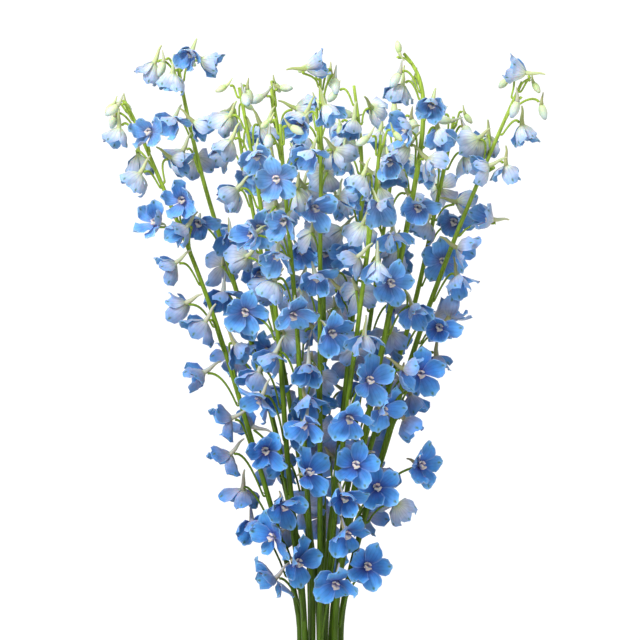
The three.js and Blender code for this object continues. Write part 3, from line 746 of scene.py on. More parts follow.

# %% [markdown]
# ## What the petals are made of
# The five blue sepals are thin, soft tissue: matt, a little velvety, and they let some light through. The
# inside is clear sky blue, deeper round the throat, which is partly its own violet and partly painted shade,
# with a soft green spot near each tip. The outside is paler, greyish lilac near the base with fine darker
# veins. The margins are painted paler, as light that shines through the thin edge, and the colour is a
# little cloudy. Each sepal is a grid, so its UV map already runs across and along it, and the patterns are
# drawn on that. Each flower also carries two numbers on its points: its age, from 0 for the lowest to 1 for
# the youngest, and a tint of its own, so that no two are quite alike.

# %% Veins and the tip spot
VEINS = 5
VEIN_BENDS = 2.4
SPOT_PLACE = (0.5, 0.85, 0)
SPOT_EDGE = (0.02, 0.13)
SPOT_SHARE = 0.85


def off_centre(add, across):
    """How far a point lies from the sepal's middle line, from -0.5 to 0.5."""
    return add("Math", {0: across, 1: 0.5}, operation="SUBTRACT")


def add_veins(add, across, along):
    """Fine lines that fan out along a sepal: 0 between them, 1 on them."""
    phase = add("Math", {0: off_centre(add, across), 1: math.tau * VEINS}, operation="MULTIPLY")
    wobble = add("TexNoise", noise_dimensions="1D", W=along, Scale=7)
    bent = add("Math", {0: wobble, 1: VEIN_BENDS, 2: phase}, operation="MULTIPLY_ADD")
    wave = add("Math", {0: bent}, operation="COSINE")
    return add("MapRange", Value=wave, From_Min=0.45, From_Max=1)


def add_tip_spot(add, across, along):
    """The soft round mark near a sepal's tip: strongest in its middle, 0 outside."""
    flat = add("CombineXYZ", X=across, Y=along)
    away = add("VectorMath", {0: flat, 1: SPOT_PLACE}, operation="DISTANCE").outputs["Value"]
    return add("MapRange", interpolation_type="SMOOTHSTEP", Value=away,
               From_Min=SPOT_EDGE[0], From_Max=SPOT_EDGE[1], To_Min=SPOT_SHARE, To_Max=0)


print("veins", round(2 * SEPAL_HALF_WIDTH * SEPAL_LENGTH / VEINS, 1), "mm apart where a sepal is widest")

# %% Petal tissue
EDGE_LIGHT_RANGE = (0.36, 0.5)
EDGE_LIGHT_SHARE = 0.22
CLOUD_WIDTH = 12
CLOUD_LIGHTNESS = (0.74, 1.16)
TINT_LIGHTNESS = (0.84, 1.12)


def petal_tissue(name, colours, young, vein, vein_share, spot, paler):
    """Soft tissue: colours from base to tip, paler when young, with veins, a margin painted paler as light
    shining through, and a tip spot.
    """
    material, add = new_material(name)
    flat = add("SeparateXYZ", Vector=add("TexCoord").outputs["UV"])
    across, along = flat.outputs["X"], flat.outputs["Y"]
    place = add("TexCoord").outputs["Object"]
    age = add("Attribute", attribute_name="age").outputs["Fac"]
    tint = add("Attribute", attribute_name="tint").outputs["Fac"]
    body = add("ValToRGB", Fac=along, stops=colours)
    fresh = add("ValToRGB", Fac=along, stops=young)
    youth = add("MapRange", Value=age, From_Min=0.15, From_Max=0.78, To_Max=paler)
    aged = add("MixRGB", Fac=youth, Color1=body, Color2=fresh)
    weaker = add("MapRange", Value=along, From_Min=0.1, From_Max=0.95, To_Min=vein_share, To_Max=0.05)
    drawn = add("Math", {0: add_veins(add, across, along), 1: weaker}, operation="MULTIPLY")
    veined = add("MixRGB", Fac=drawn, Color1=aged, Color2=linear(vein))
    aside = add("Math", {0: off_centre(add, across)}, operation="ABSOLUTE")
    # The pale margin is painted light: the thin edge is drawn lighter, as if lit through.
    painted_edge_light = add("MapRange", interpolation_type="SMOOTHSTEP", Value=aside,
                 From_Min=EDGE_LIGHT_RANGE[0], From_Max=EDGE_LIGHT_RANGE[1], To_Max=EDGE_LIGHT_SHARE)
    lit_edge_colour = add("MixRGB", Fac=painted_edge_light, Color1=veined, Color2=linear("#a9c6ea"))
    spotted = add("MixRGB", Fac=add_tip_spot(add, across, along), Color1=lit_edge_colour, Color2=linear(spot))
    clouds = add("TexNoise", Vector=place, Scale=noise_scale(CLOUD_WIDTH), Detail=2)
    cloudy = add("MapRange", Value=clouds, From_Min=0.3, From_Max=0.7,
                 To_Min=CLOUD_LIGHTNESS[0], To_Max=CLOUD_LIGHTNESS[1])
    lightness = add("MapRange", Value=tint, To_Min=TINT_LIGHTNESS[0], To_Max=TINT_LIGHTNESS[1])
    value = add("Math", {0: lightness, 1: cloudy}, operation="MULTIPLY")
    own = add("HueSaturation", Value=value, Color=spotted)
    # Real cells are too small to show, so the relief is drawn 4 mm wide.
    cells = add("TexNoise", Vector=place, Scale=noise_scale(4), Detail=1)
    relief = add("Math", {0: cells, 1: drawn}, operation="SUBTRACT")
    finish_surface(add, relief, strength=0.3, depth=0.4, Base_Color=own, Roughness=0.55, IOR=1.4,
                   Specular_IOR_Level=0.3, Subsurface_Weight=0.3, Subsurface_Scale=1.5 * MM, Sheen_Weight=0.1)
    return material


# The inside's darkest stops, round the throat, are partly the sepal's own violet and partly painted shade.
sepal_inside = petal_tissue(
    "sepal_inside_tissue",
    colours=((0, "#373776"), (0.14, "#3656a4"), (0.4, "#387ac6"), (0.75, "#5098da"), (1, "#80b6e2")),
    young=((0, "#929ac8"), (0.2, "#80a4d8"), (0.5, "#70a8e2"), (0.85, "#88bce8"), (1, "#aacdea")),
    vein="#284f98", vein_share=0.35, spot="#4a7250", paler=0.85)
sepal_outside = petal_tissue(
    "sepal_outside_tissue",
    colours=((0, "#adb684"), (0.14, "#a8aabf"), (0.42, "#8498c6"), (0.75, "#5c8ccc"), (1, "#5593d6")),
    young=((0, "#bece7c"), (0.22, "#d0d8c2"), (0.5, "#c2ccdc"), (0.8, "#9db8dc"), (1, "#88b0de")),
    vein="#6f7aa8", vein_share=0.5, spot="#4c6f48", paler=1)
print("petal tissues", sepal_inside.name, sepal_outside.name)

# %% [markdown]
# ## One sepal
# A sepal is a narrow claw that widens to a broad blade with a blunt or pointed tip. It is a flat grid, and
# each row is drawn to the blade's width there, moved along, lifted into an arch and turned a little, with
# the outer columns bent in and rippled. A Solidify modifier gives it its thickness, and its two material
# slots give each side its own colour.

# %% Helpers for modelling
def choose(*pieces):
    """Selects just these pieces, the first as the active one."""
    bpy.ops.object.select_all(action="DESELECT")
    for piece in pieces:
        piece.select_set(True)
    bpy.context.view_layer.objects.active = pieces[0]


def start_edit(piece):
    """Edit mode, with all of the piece selected."""
    choose(piece)
    bpy.ops.object.mode_set(mode="EDIT")
    bpy.ops.mesh.select_mode(type="VERT")
    bpy.ops.mesh.select_all(action="SELECT")


def end_edit():
    bpy.ops.object.mode_set(mode="OBJECT")


def pick(wanted):
    """In edit mode, selects just the vertices that pass the test."""
    mesh = bmesh.from_edit_mesh(bpy.context.object.data)
    for vertex in mesh.verts:
        vertex.select = wanted(vertex)
    mesh.select_flush(True)
    mesh.select_flush(False)


def turn_faces_out():
    bpy.ops.mesh.select_all(action="SELECT")
    bpy.ops.mesh.normals_make_consistent(inside=False)


def finish_modifier(piece, kind, **settings):
    """Adds a modifier, sets it and applies it."""
    choose(piece)
    modifier = piece.modifiers.new(kind.title(), kind)
    for name, value in settings.items():
        setattr(modifier, name, value)
    bpy.ops.object.modifier_apply(modifier=modifier.name)


def copy_of(source, place):
    """A copy with its own mesh, moved to its place in the mesh itself."""
    piece = bpy.data.objects.new(source.name + "_copy", source.data.copy())
    bpy.context.collection.objects.link(piece)
    piece.data.transform(place)
    return piece


def join(pieces, name):
    choose(*pieces)
    if len(pieces) > 1:
        bpy.ops.object.join()
    pieces[0].name = pieces[0].data.name = name
    return pieces[0]


def remove(pieces):
    for piece in pieces:
        bpy.data.objects.remove(piece)


print("objects so far", [piece.name for piece in bpy.context.scene.objects if piece.type != "MESH"])

# %% The sepal's sheet
SEPAL = SEPAL_LENGTH * MM
SEPAL_ROWS = ((0, 0.2), (0.15, 0.5), (0.32, 0.8), (0.5, 0.98), (0.68, 1.0), (0.86, 0.74), (1.0, 0.2))
BLUNT_TIP = (0, 0, 0, 0, 0, 0.14, 0.22)
CORNER_BACK = (0, 0, 0, 0, 0, 0.02, 0.06)
SEPAL_COLUMNS = 5
SEPAL_THICKNESS = 0.45 * MM
RIPPLE_STEP = 2.3


def sepal_sheet(half_width, blunt, cup, bulge, curl, wave, twist, phase):
    """A sepal from its claw at the origin to its tip along +Y, with its outside up."""
    rows, edge = len(SEPAL_ROWS) - 1, SEPAL_COLUMNS - 1
    bpy.ops.mesh.primitive_grid_add(x_subdivisions=edge, y_subdivisions=rows, size=SEPAL)
    piece = bpy.context.object
    start_edit(piece)
    for row, (along, width) in enumerate(SEPAL_ROWS):
        width += blunt * BLUNT_TIP[row]
        arch = bulge * math.sin(math.pi * along) + curl * along ** 3
        drop = cup * width * width
        pick(lambda vertex: vertex.index // SEPAL_COLUMNS == row)
        bpy.ops.transform.resize(value=(2 * half_width * width, 1, 1), center_override=(0, 0, 0))
        bpy.ops.transform.translate(value=(0, SEPAL * (along - row / rows + 0.5), SEPAL * arch))
        for side, outer, inner in ((-1, 0, 1), (1, edge, edge - 1)):
            ripple = wave * along * math.sin(phase + side + row * RIPPLE_STEP)
            pick(lambda vertex: vertex.index == row * SEPAL_COLUMNS + outer)
            bpy.ops.transform.translate(value=(0, -SEPAL * CORNER_BACK[row], SEPAL * (ripple - drop)))
            pick(lambda vertex: vertex.index == row * SEPAL_COLUMNS + inner)
            bpy.ops.transform.translate(value=(0, 0, SEPAL * (ripple / 3 - drop / 4)))
        pick(lambda vertex: vertex.index // SEPAL_COLUMNS == row)
        bpy.ops.transform.rotate(value=twist * along, orient_axis="Y", center_override=(0, 0, SEPAL * arch))
    end_edit()
    piece.data.materials.append(sepal_outside)
    piece.data.materials.append(sepal_inside)
    finish_modifier(piece, "SOLIDIFY", thickness=SEPAL_THICKNESS, offset=-1, material_offset=1,
                    material_offset_rim=1)
    return piece


trial = sepal_sheet(half_width=0.39, blunt=0.5, cup=0.06, bulge=0.1, curl=0.03, wave=0.02, twist=0, phase=0)
print("a sepal has", len(trial.data.polygons), "faces and measures",
      tuple(round(side / MM, 1) for side in trial.dimensions), "mm")
remove([trial])

# %% [markdown]
# ## Spur, bee and buds
# The topmost sepal runs back into a long tapered spur, which is a Bezier curve with a round bevel that gets
# thinner, made into a mesh. It is finely wrinkled, lilac by the flower and brownish towards its end, or
# greenish cream all along on a young flower.

# %% Round tubes
MERGE_WITHIN = 0.01 * MM


def smooth_line(route, steps):
    """A tube's line through the route's (x, y, z, radius), in millimetres, with even handles.

    Each of its points is a place, a radius, and the handles before and after it.
    """
    points = [np.array(point[:3], float) * MM for point in route]
    last = len(points) - 1
    line = []
    for k, point in enumerate(points):
        slope = (points[min(k + 1, last)] - points[max(k - 1, 0)]) / (6 if 0 < k < last else 3)
        line.append((point, route[k][3] * MM, point - slope, point + slope))
    return {"points": line, "steps": steps}


def tube(lines, sides, material):
    """One mesh of round tubes that follow Bezier lines."""
    bpy.ops.curve.primitive_bezier_curve_add()
    curve = bpy.context.object.data
    curve.splines.clear()
    for line in lines:
        spline = curve.splines.new("BEZIER")
        spline.bezier_points.add(len(line["points"]) - 1)
        spline.resolution_u = line["steps"]
        for knot, (point, radius, before, after) in zip(spline.bezier_points, line["points"]):
            knot.handle_left_type = knot.handle_right_type = "FREE"
            knot.co, knot.handle_left, knot.handle_right = point, before, after
            knot.radius = radius
    curve.dimensions = "3D"
    curve.bevel_depth = 1
    curve.bevel_resolution = sides // 2 - 2
    curve.use_fill_caps = True
    choose(bpy.context.object)
    bpy.ops.object.convert(target="MESH")
    piece = bpy.context.object
    start_edit(piece)
    bpy.ops.mesh.remove_doubles(threshold=MERGE_WITHIN)
    turn_faces_out()
    end_edit()
    piece.data.materials.clear()
    piece.data.materials.append(material)
    bpy.ops.object.shade_smooth()
    return piece


print("points closer than", MERGE_WITHIN / MM, "mm are merged")

# %% Spur
SPUR_ROUTE = ((0, 0.2, 1.6, 2.9), (0, 1.7, -6, 2.2), (0, 4.8, -13.5, 1.4), (0, 5.4, -19.5, 0.8))


def aged_colour(add, old, young):
    """A colour from base to tip, by one ramp on the lowest flowers and by another on the youngest."""
    along = add("SeparateXYZ", Vector=add("TexCoord").outputs["UV"]).outputs["Y"]
    age = add("Attribute", attribute_name="age").outputs["Fac"]
    ramps = [add("ValToRGB", Fac=along, stops=stops) for stops in (old, young)]
    return add("MixRGB", Fac=age, Color1=ramps[0], Color2=ramps[1])


spur_skin, add = new_material("spur_skin")
colour = aged_colour(add, old=((0, "#969dc2"), (0.25, "#a5a19e"), (0.6, "#a0997a"), (1, "#7b7252")),
                     young=((0, "#bfce92"), (0.4, "#c0ca90"), (1, "#95a35a")))
wrinkles = add("TexNoise", Vector=add("TexCoord").outputs["Object"], Scale=noise_scale(2.4), Detail=2)
finish_surface(add, wrinkles, strength=0.4, depth=0.4, Base_Color=colour, Roughness=0.6, IOR=1.4,
               Subsurface_Weight=0.2, Subsurface_Scale=1 * MM)

spur = tube([smooth_line(SPUR_ROUTE, 2)], 6, spur_skin)
print("the spur has", len(spur.data.polygons), "faces")

# %% [markdown]
# In the flower's mouth sit four small inner petals, called the bee, round a dark centre. They are fuzzy, so
# they look soft, and creamy at the tip; the violet grey towards the foot is painted shade deep in the mouth.
# Each is a small sphere, flattened, widened towards its tip and notched there. One is modelled and then
# copied round the middle.

# %% Bee petals' skin
bee_petal, add = new_material("bee_petal")
along = add("SeparateXYZ", Vector=add("TexCoord").outputs["UV"]).outputs["Y"]
# The real fuzz is finer than a millimetre and is drawn coarser, so that it shows.
fuzz = add("TexNoise", Vector=add("TexCoord").outputs["Object"], Scale=noise_scale(1.1), Detail=1)
paler = add("Math", {0: fuzz, 1: 0.3, 2: along}, operation="MULTIPLY_ADD")
# Painted shade: the ramp darkens to violet grey towards each lobe's foot, where it sinks into the mouth.
colour = add("ValToRGB", Fac=paler,
             stops=((0.3, "#4d4880"), (0.55, "#8880a6"), (0.78, "#beb4bc"), (1, "#ddd4c6")))
finish_surface(add, fuzz, strength=0.7, depth=0.4, Base_Color=colour, Roughness=0.7,
               Subsurface_Weight=0.3, Subsurface_Scale=1 * MM, Sheen_Weight=0.3)
print("bee petals' skin has", len(bee_petal.node_tree.nodes), "nodes")

# %% Bee
LOBE = 5.6 * MM
LOBES = ((238, -4, 1.25), (302, 10, 1.3), (62, 22, 0.95), (128, 34, 0.8))
LOBE_SHAPE = (0.95, 0.42, 1)
LOBE_WIDENS_FROM = 0.7 * LOBE
LOBE_WIDENS_BY = 1.35
LOBE_TIP = 0.95 * LOBE
LOBE_NOTCH = 0.3 * LOBE
LOBE_FOOT = (1.8 * MM, 0, 0.6 * MM)
CENTRE_RADIUS = 1.1 * MM
CENTRE_SHAPE = (1, 1, 1.6)
CENTRE_PLACE = (0, 0.9 * MM, 1.3 * MM)

bpy.ops.mesh.primitive_uv_sphere_add(segments=6, ring_count=4, radius=LOBE / 2)
lobe = bpy.context.object
start_edit(lobe)
bpy.ops.transform.resize(value=LOBE_SHAPE)
bpy.ops.transform.translate(value=(0, 0, LOBE / 2))
pick(lambda vertex: vertex.co.z > LOBE_WIDENS_FROM)
bpy.ops.transform.resize(value=(LOBE_WIDENS_BY, 1, 1))
pick(lambda vertex: vertex.co.z > LOBE_TIP)
bpy.ops.transform.translate(value=(0, 0, -LOBE_NOTCH))
end_edit()
bpy.ops.object.shade_smooth()
lobe.data.materials.append(bee_petal)

bpy.ops.mesh.primitive_ico_sphere_add(subdivisions=1, radius=CENTRE_RADIUS)
centre = bpy.context.object
start_edit(centre)
bpy.ops.transform.resize(value=CENTRE_SHAPE)
bpy.ops.transform.translate(value=CENTRE_PLACE)
end_edit()
anthers, add = new_material("dark_anthers")
add("OutputMaterial", Surface=add("BsdfPrincipled", Base_Color=linear("#6c6486"), Roughness=0.8))
centre.data.materials.append(anthers)

lobes = []
for turn, spread, size in LOBES:
    place = (Matrix.Rotation(math.radians(turn), 4, "Z") @ Matrix.Translation(LOBE_FOOT)
             @ Matrix.Rotation(math.radians(spread), 4, "Y") @ Matrix.Rotation(math.radians(90), 4, "Z")
             @ Matrix.Scale(size, 4))
    lobes.append(copy_of(lobe, place))
bee = join([centre, *lobes], "bee")
remove([lobe])
print("the bee has", len(bee.data.polygons), "faces")

# %% [markdown]
# A bud is a closed packet of folded sepals, so it has five low ridges and a blunt nose. It starts as a
# sphere whose meridians are pushed out and in by turns, and it has a short spur of its own. Buds are
# greenish where they join the stalk and turn from cream to pale blue as they ripen.

# %% Bud skin
bud_skin, add = new_material("bud_skin")
colour = aged_colour(
    add, old=((0, "#9db85e"), (0.25, "#ccd8ae"), (0.6, "#c3cfd6"), (0.84, "#9fb6dc"), (0.95, "#6f8c86")),
    young=((0, "#8cab46"), (0.3, "#bdd08c"), (0.7, "#d0dcb4"), (0.93, "#9fb07a")))
folds = add("TexNoise", Vector=add("TexCoord").outputs["Object"], Scale=noise_scale(4.5), Detail=1)
finish_surface(add, folds, strength=0.3, depth=0.4, Base_Color=colour, Roughness=0.5, IOR=1.4,
               Subsurface_Weight=0.3, Subsurface_Scale=1.5 * MM)
print("bud skin has", len(bud_skin.node_tree.nodes), "nodes")

# %% Bud
BUD_ROUTE = ((0, -0.2, 1.0, 3.1), (0, 1.6, -5, 1.8), (0, 4.6, -10.5, 1.0), (0, 5.6, -13.2, 0.6))
BUD_MERIDIANS = 10
BUD_SLIMMER = 0.92
BUD_LONGER = 1.06
BUD_SINKS = 0.5
RIDGES = (1.1, 0.9)
BLUNT_FROM = 0.75 * BUD_NOSE * MM
BLUNT_BY = 0.85

bpy.ops.mesh.primitive_uv_sphere_add(segments=BUD_MERIDIANS, ring_count=7, radius=BUD_NOSE / 2 * MM)
packet = bpy.context.object
start_edit(packet)
width = BUD_SLIMMER * 2 * BUD_RADIUS / BUD_NOSE
bpy.ops.transform.resize(value=(width, width, BUD_LONGER))
bpy.ops.transform.translate(value=(0, 0, (BUD_NOSE / 2 - BUD_SINKS) * MM))
step = math.tau / BUD_MERIDIANS
for parity, swell in enumerate(RIDGES):
    pick(lambda vertex: round(math.atan2(vertex.co.y, vertex.co.x) / step) % 2 == parity)
    bpy.ops.transform.resize(value=(swell, swell, 1), center_override=(0, 0, 0))
pick(lambda vertex: vertex.co.z > BLUNT_FROM)
bpy.ops.transform.resize(value=(BLUNT_BY, BLUNT_BY, 1), center_override=(0, 0, 0))
end_edit()
bpy.ops.object.shade_smooth()
packet.data.materials.append(bud_skin)
bud = join([packet, tube([smooth_line(BUD_ROUTE, 2)], 6, spur_skin)], "bud")
print("a bud has", len(bud.data.polygons), "faces")

# %% [markdown]
# ## Florets from nodding bells to open stars
# Five sepals round the throat make a floret. Sepals that lean out only a little make a bell, and ones that
# lean out far make a star. Sixteen florets are made, from shut to open, and each of their sepals is cut,
# bent and turned a little for itself. The top one leans forward like a hood. In a bell the sepals bend
# round it more, and each is turned about its own length, so that one edge lies over its neighbour and the
# other lies under.
#
# The pairs for cups, bulges, leaning play and rolls give the value for a shut floret and for an open one.
# The other pairs give the least and the most that a draw can bring.

# %% Sixteen florets
OPENINGS = 16
HOODED = (-12, 0, 5, 5, 0)
HALF_WIDTHS = (0.34, 0.41)
WIDER_WHEN_OPEN = 0.04
CUPS = (0.17, 0.1)
CUP_PLAY = (-0.08, 0.12)
BULGES = (0.15, 0.1)
BULGE_PLAY = (-0.09, 0.1)
CURL_PLAY = (-0.2, 0.2)
WAVES = (0.04, 0.14)
SHEET_TWISTS = (-32, 32)
LEAN_PLAY = (6, 22)
TURN_PLAY = (-9, 9)
ROLLS = (14, 8)
SHEET_SIZES = (0.86, 1.1)


def sepal_place(turn, lean, roll, size):
    """From the sepal's own axes to its place in the flower: its length leans out from the flower's z."""
    s, c, ls, lc = math.sin(turn), math.cos(turn), math.sin(lean), math.cos(lean)
    throat = THROAT_RADIUS * MM
    axes = Matrix(((-s, ls * c, lc * c, throat * c), (c, ls * s, lc * s, throat * s), (0, lc, -ls, 0),
                   (0, 0, 0, 1)))
    return axes @ Matrix.Rotation(roll, 4, "Y") @ Matrix.Scale(size, 4)


def floret(openness, draw):
    parts = [copy_of(spur, Matrix.Identity(4))]
    for i in range(SEPALS):
        sheet = sepal_sheet(
            half_width=mix(*HALF_WIDTHS, next(draw)) + WIDER_WHEN_OPEN * openness,
            blunt=next(draw),
            cup=mix(*CUPS, openness) + mix(*CUP_PLAY, next(draw)),
            bulge=mix(*BULGES, openness) + mix(*BULGE_PLAY, next(draw)),
            curl=mix(*CURL_PLAY, next(draw)),
            wave=mix(*WAVES, next(draw)),
            twist=math.radians(mix(*SHEET_TWISTS, next(draw))),
            phase=math.tau * next(draw))
        lean = mix(*SEPAL_ANGLES, openness) + HOODED[i] + mix(-1, 1, next(draw)) * mix(*LEAN_PLAY, openness)
        turn = 90 + i * 360 / SEPALS + mix(*TURN_PLAY, next(draw))
        place = sepal_place(math.radians(turn), math.radians(lean), math.radians(mix(*ROLLS, openness)),
                            mix(*SHEET_SIZES, next(draw)))
        parts.append(copy_of(sheet, place))
        remove([sheet])
    piece = join(parts, "floret")
    bpy.ops.object.shade_smooth_by_angle(angle=math.radians(60))
    return piece


draw = draws(SEED)
florets = [floret(k / (OPENINGS - 1), draw) for k in range(OPENINGS)]
print("a floret has", len(florets[0].data.polygons), "faces")

# %% [markdown]
# Each floret or bud is now copied to its place on its spike. A floret takes the one of the sixteen whose
# opening is nearest. All florets of one spike are joined, and so are its buds and its bees.

# %% Flowers on their spikes
def mark(piece, age, tint):
    """Writes a flower's age and tint on its points, for its material to read."""
    for name, value in (("age", age), ("tint", tint)):
        layer = piece.data.attributes.new(name, "FLOAT", "POINT")
        layer.data.foreach_set("value", [value] * len(piece.data.vertices))
    return piece


def place_of(flower):
    place = Matrix(flower_frame(flower).tolist())
    place.translation *= MM
    return place @ Matrix.Scale(flower["size"], 4)


def dress(piece, node):
    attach(piece, "root")
    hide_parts(node)


tints = draws(SEED + 1)
for flower in flowers:
    flower["tint"] = next(tints)
for index in range(len(SPIKES)):
    node = f"flower_spike_{index + 1:02d}"
    own = [(flower, place_of(flower)) for flower in flowers if flower["index"] == index]
    buds = [mark(copy_of(bud, place), flower["bud_share"], flower["tint"])
            for flower, place in own if flower["bud"]]
    heads, bees = [], []
    for flower, place in own:
        if not flower["bud"]:
            head = florets[round(flower["open"] * (OPENINGS - 1))]
            heads.append(mark(copy_of(head, place), flower["share"], flower["tint"]))
            bees.append(copy_of(bee, place))
    dress(join(heads, node + "_florets"), node)
    dress(join(bees, node + "_bees"), node)
    dress(join(buds, node + "_buds"), node)
remove([*florets, bee, bud, spur])
bud_count = sum(flower["bud"] for flower in flowers)
print("florets", len(flowers) - bud_count, "buds", bud_count)

# %% [markdown]
# ## Stems and stalks
# The stems are smooth and juicy, yellower towards the tip, and finely ridged. Each spike's stem and all its
# stalks are lines of one Bezier curve, so they swell and bend like real ones and become one mesh. A narrow
# bract sits where each stalk leaves the stem, and a pair of tiny ones just below the flower.

# %% Stem skin
RIDGE_WIDTH = 1.1
RIDGE_STRETCH = (1, 1, 0.04)
COLOUR_FROM = 0.13
COLOUR_TO = 0.78

stem_skin, add = new_material("stem_skin")
place = add("TexCoord").outputs["Object"]
height = add("SeparateXYZ", Vector=place).outputs["Z"]
rise = add("MapRange", Value=height, From_Min=COLOUR_FROM, From_Max=COLOUR_TO)
green = add("ValToRGB", Fac=rise, stops=((0, "#324b08"), (0.35, "#4b670e"), (0.7, "#769226"), (1, "#9db745")))
stretched = add("Mapping", Vector=place, Scale=RIDGE_STRETCH)
streaks = add("TexNoise", Vector=stretched, Scale=noise_scale(RIDGE_WIDTH), Detail=2)
streaked = add("MapRange", Value=streaks, From_Min=0.35, From_Max=0.65, To_Min=0.72, To_Max=1.25)
colour = add("HueSaturation", Value=streaked, Color=green)
finish_surface(add, streaks, strength=0.4, depth=0.4, Base_Color=colour, Roughness=0.42, IOR=1.4,
               Specular_IOR_Level=0.3, Subsurface_Weight=0.1, Subsurface_Scale=1 * MM)
print("stem skin has", len(stem_skin.node_tree.nodes), "nodes")

# %% Bract
BRACT_LENGTH = 6 * MM
BRACT_WIDTHS = (0.12, 0.26, 0.2, 0.03)
BRACT_FOLD = 0.3 * MM
BRACT_THICKNESS = 0.3 * MM

bpy.ops.mesh.primitive_grid_add(x_subdivisions=2, y_subdivisions=3, size=BRACT_LENGTH)
bract = bpy.context.object
start_edit(bract)
for row, width in enumerate(BRACT_WIDTHS):
    pick(lambda vertex: vertex.index // 3 == row)
    bpy.ops.transform.resize(value=(width, 1, 1), center_override=(0, 0, 0))
    bpy.ops.transform.translate(value=(0, BRACT_LENGTH / 2, 0))
pick(lambda vertex: vertex.index % 3 == 1)
bpy.ops.transform.translate(value=(0, 0, -BRACT_FOLD))
end_edit()
bract.data.materials.append(stem_skin)
finish_modifier(bract, "SOLIDIFY", thickness=BRACT_THICKNESS, offset=0)
print("a bract has", len(bract.data.polygons), "faces")

# %% Stalk lines and bract places
STALK_AT_STEM = 1.2
STALK_MIDDLE = 0.95
STALK_AT_FLOWER = 1.35
STALK_ROOT_HANDLE = 0.4
STALK_BEND_HANDLE = 0.2
STEM_BRACT_SIZES = (1.3, 0.7)
STEM_BRACT_LEAN = 0.7
STEM_BRACT_OUT = 0.8
PAIR_PLACES = ((0.8, 1), (0.84, -1))
PAIR_LEAN = 0.8
PAIR_SIZE = 0.5


def stalk_line(flower):
    """From inside the stem, off along it, and over to the flower's back, where it widens a little."""
    root, start, bend, hook, end = [np.array(p) * MM for p in (flower["root"], *stalk_corners(flower))]
    thick = STALK_RADIUS * MM
    return {"steps": 9, "points": [
        (root, STALK_AT_STEM * thick, root, root + (start - root) * STALK_ROOT_HANDLE),
        (start, STALK_MIDDLE * thick, start - (bend - start) * STALK_BEND_HANDLE, bend),
        (end, STALK_AT_FLOWER * thick, hook, end),
    ]}


def axes_along(at, along, out, size):
    """A place for a bract: y along it, z to its back."""
    back = unit(out - along * (out @ along))
    side = np.cross(along, back)
    place = Matrix([[*row, 0] for row in np.column_stack([side, along, back]).tolist()] + [[0, 0, 0, 1]])
    place.translation = Vector(at * MM)
    return place @ Matrix.Scale(size, 4)


def bracts_of(flower):
    """One bract where the stalk leaves the stem, and a tiny pair below the flower."""
    corners, outward = stalk_corners(flower), flower["outward"]
    places = [axes_along(flower["root"] + outward * flower["thick"] * STEM_BRACT_OUT,
                         unit(flower["along"] + STEM_BRACT_LEAN * outward), outward,
                         mix(*STEM_BRACT_SIZES, flower["share"]))]
    for share, side in PAIR_PLACES:
        at, along = bezier_point(corners, share), slope_of(bezier_point, corners, share)
        aside = unit(np.cross(along, flower["facing"])) * side
        places.append(axes_along(at, unit(along + PAIR_LEAN * aside), aside, PAIR_SIZE))
    return [copy_of(bract, place) for place in places]


print("bracts for each flower", 1 + len(PAIR_PLACES))

# %% Stems
for index, points in enumerate(stems):
    node = f"flower_spike_{index + 1:02d}"
    own = [flower for flower in flowers if flower["index"] == index]
    last = len(points) - 1
    route = [(*point, stem_radius(k / last)) for k, point in enumerate(points)]
    green = tube([smooth_line(route, 6), *map(stalk_line, own)], 8, stem_skin)
    leaves = [leaf for flower in own for leaf in bracts_of(flower)]
    dress(join([green, *leaves], node + "_stem"), node)
remove([bract])
print("stems", len(stems), "stalks", len(flowers))

# %% [markdown]
# ## The clay pot
# A terracotta pot is thrown or pressed, then fired without a glaze, so its edges are soft and its skin is
# matt, with pale lime where water has soaked through. Here a disc the size of the foot is extruded upwards
# step by step, inwards over the rim and down again to the floor. Its edges are rounded by a Bevel modifier
# and the drain holes are cut by a Boolean one.

# %% Fired clay
RING_STRETCH = (0.02, 0.02, 1)

terracotta, add = new_material("fired_terracotta")
place = add("TexCoord").outputs["Object"]
clouds = add("TexNoise", Vector=place, Scale=noise_scale(45), Detail=6)
clay = add("ValToRGB", Fac=clouds, stops=((0.3, "#a8583a"), (0.55, "#bf6e4a"), (0.8, "#cc8460")))
lime = add("TexNoise", Vector=place, Scale=noise_scale(110), Detail=8, Roughness=0.7)
bloom = add("MapRange", Value=lime, From_Min=0.56, From_Max=0.78, To_Max=0.4)
limed = add("MixRGB", Fac=bloom, Color1=clay, Color2=linear("#dcc8b4"))
grit = add("TexNoise", Vector=place, Scale=noise_scale(1.4), Detail=4)
flat = add("Mapping", Vector=place, Scale=RING_STRETCH)
rings = add("TexNoise", Vector=flat, Scale=noise_scale(4), Detail=2)
relief = add("Math", {0: grit, 1: rings}, operation="ADD")
finish_surface(add, relief, strength=0.5, depth=0.6, Base_Color=limed, Roughness=0.85)
print("clay has", len(terracotta.node_tree.nodes), "nodes")

# %% The pot's measures
POT_SIDES = 96
POT_RADIUS, _, POT_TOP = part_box("pot")[1]
FOOT_RADIUS = 64 * MM
WALL = 7 * MM
FLOOR = 10 * MM
RIM_DEPTH = 32 * MM
RIM_STEP = 5 * MM
EDGE_ROUNDING = 2.2 * MM
DRAIN_HOLES = 3
DRAIN_TURN = 30
DRAIN_RADIUS = 6 * MM
DRAIN_RING = 36 * MM


def wall_radius(height):
    """The outside of the pot's wall below the rim."""
    return mix(FOOT_RADIUS, POT_RADIUS - RIM_STEP, height / POT_TOP)


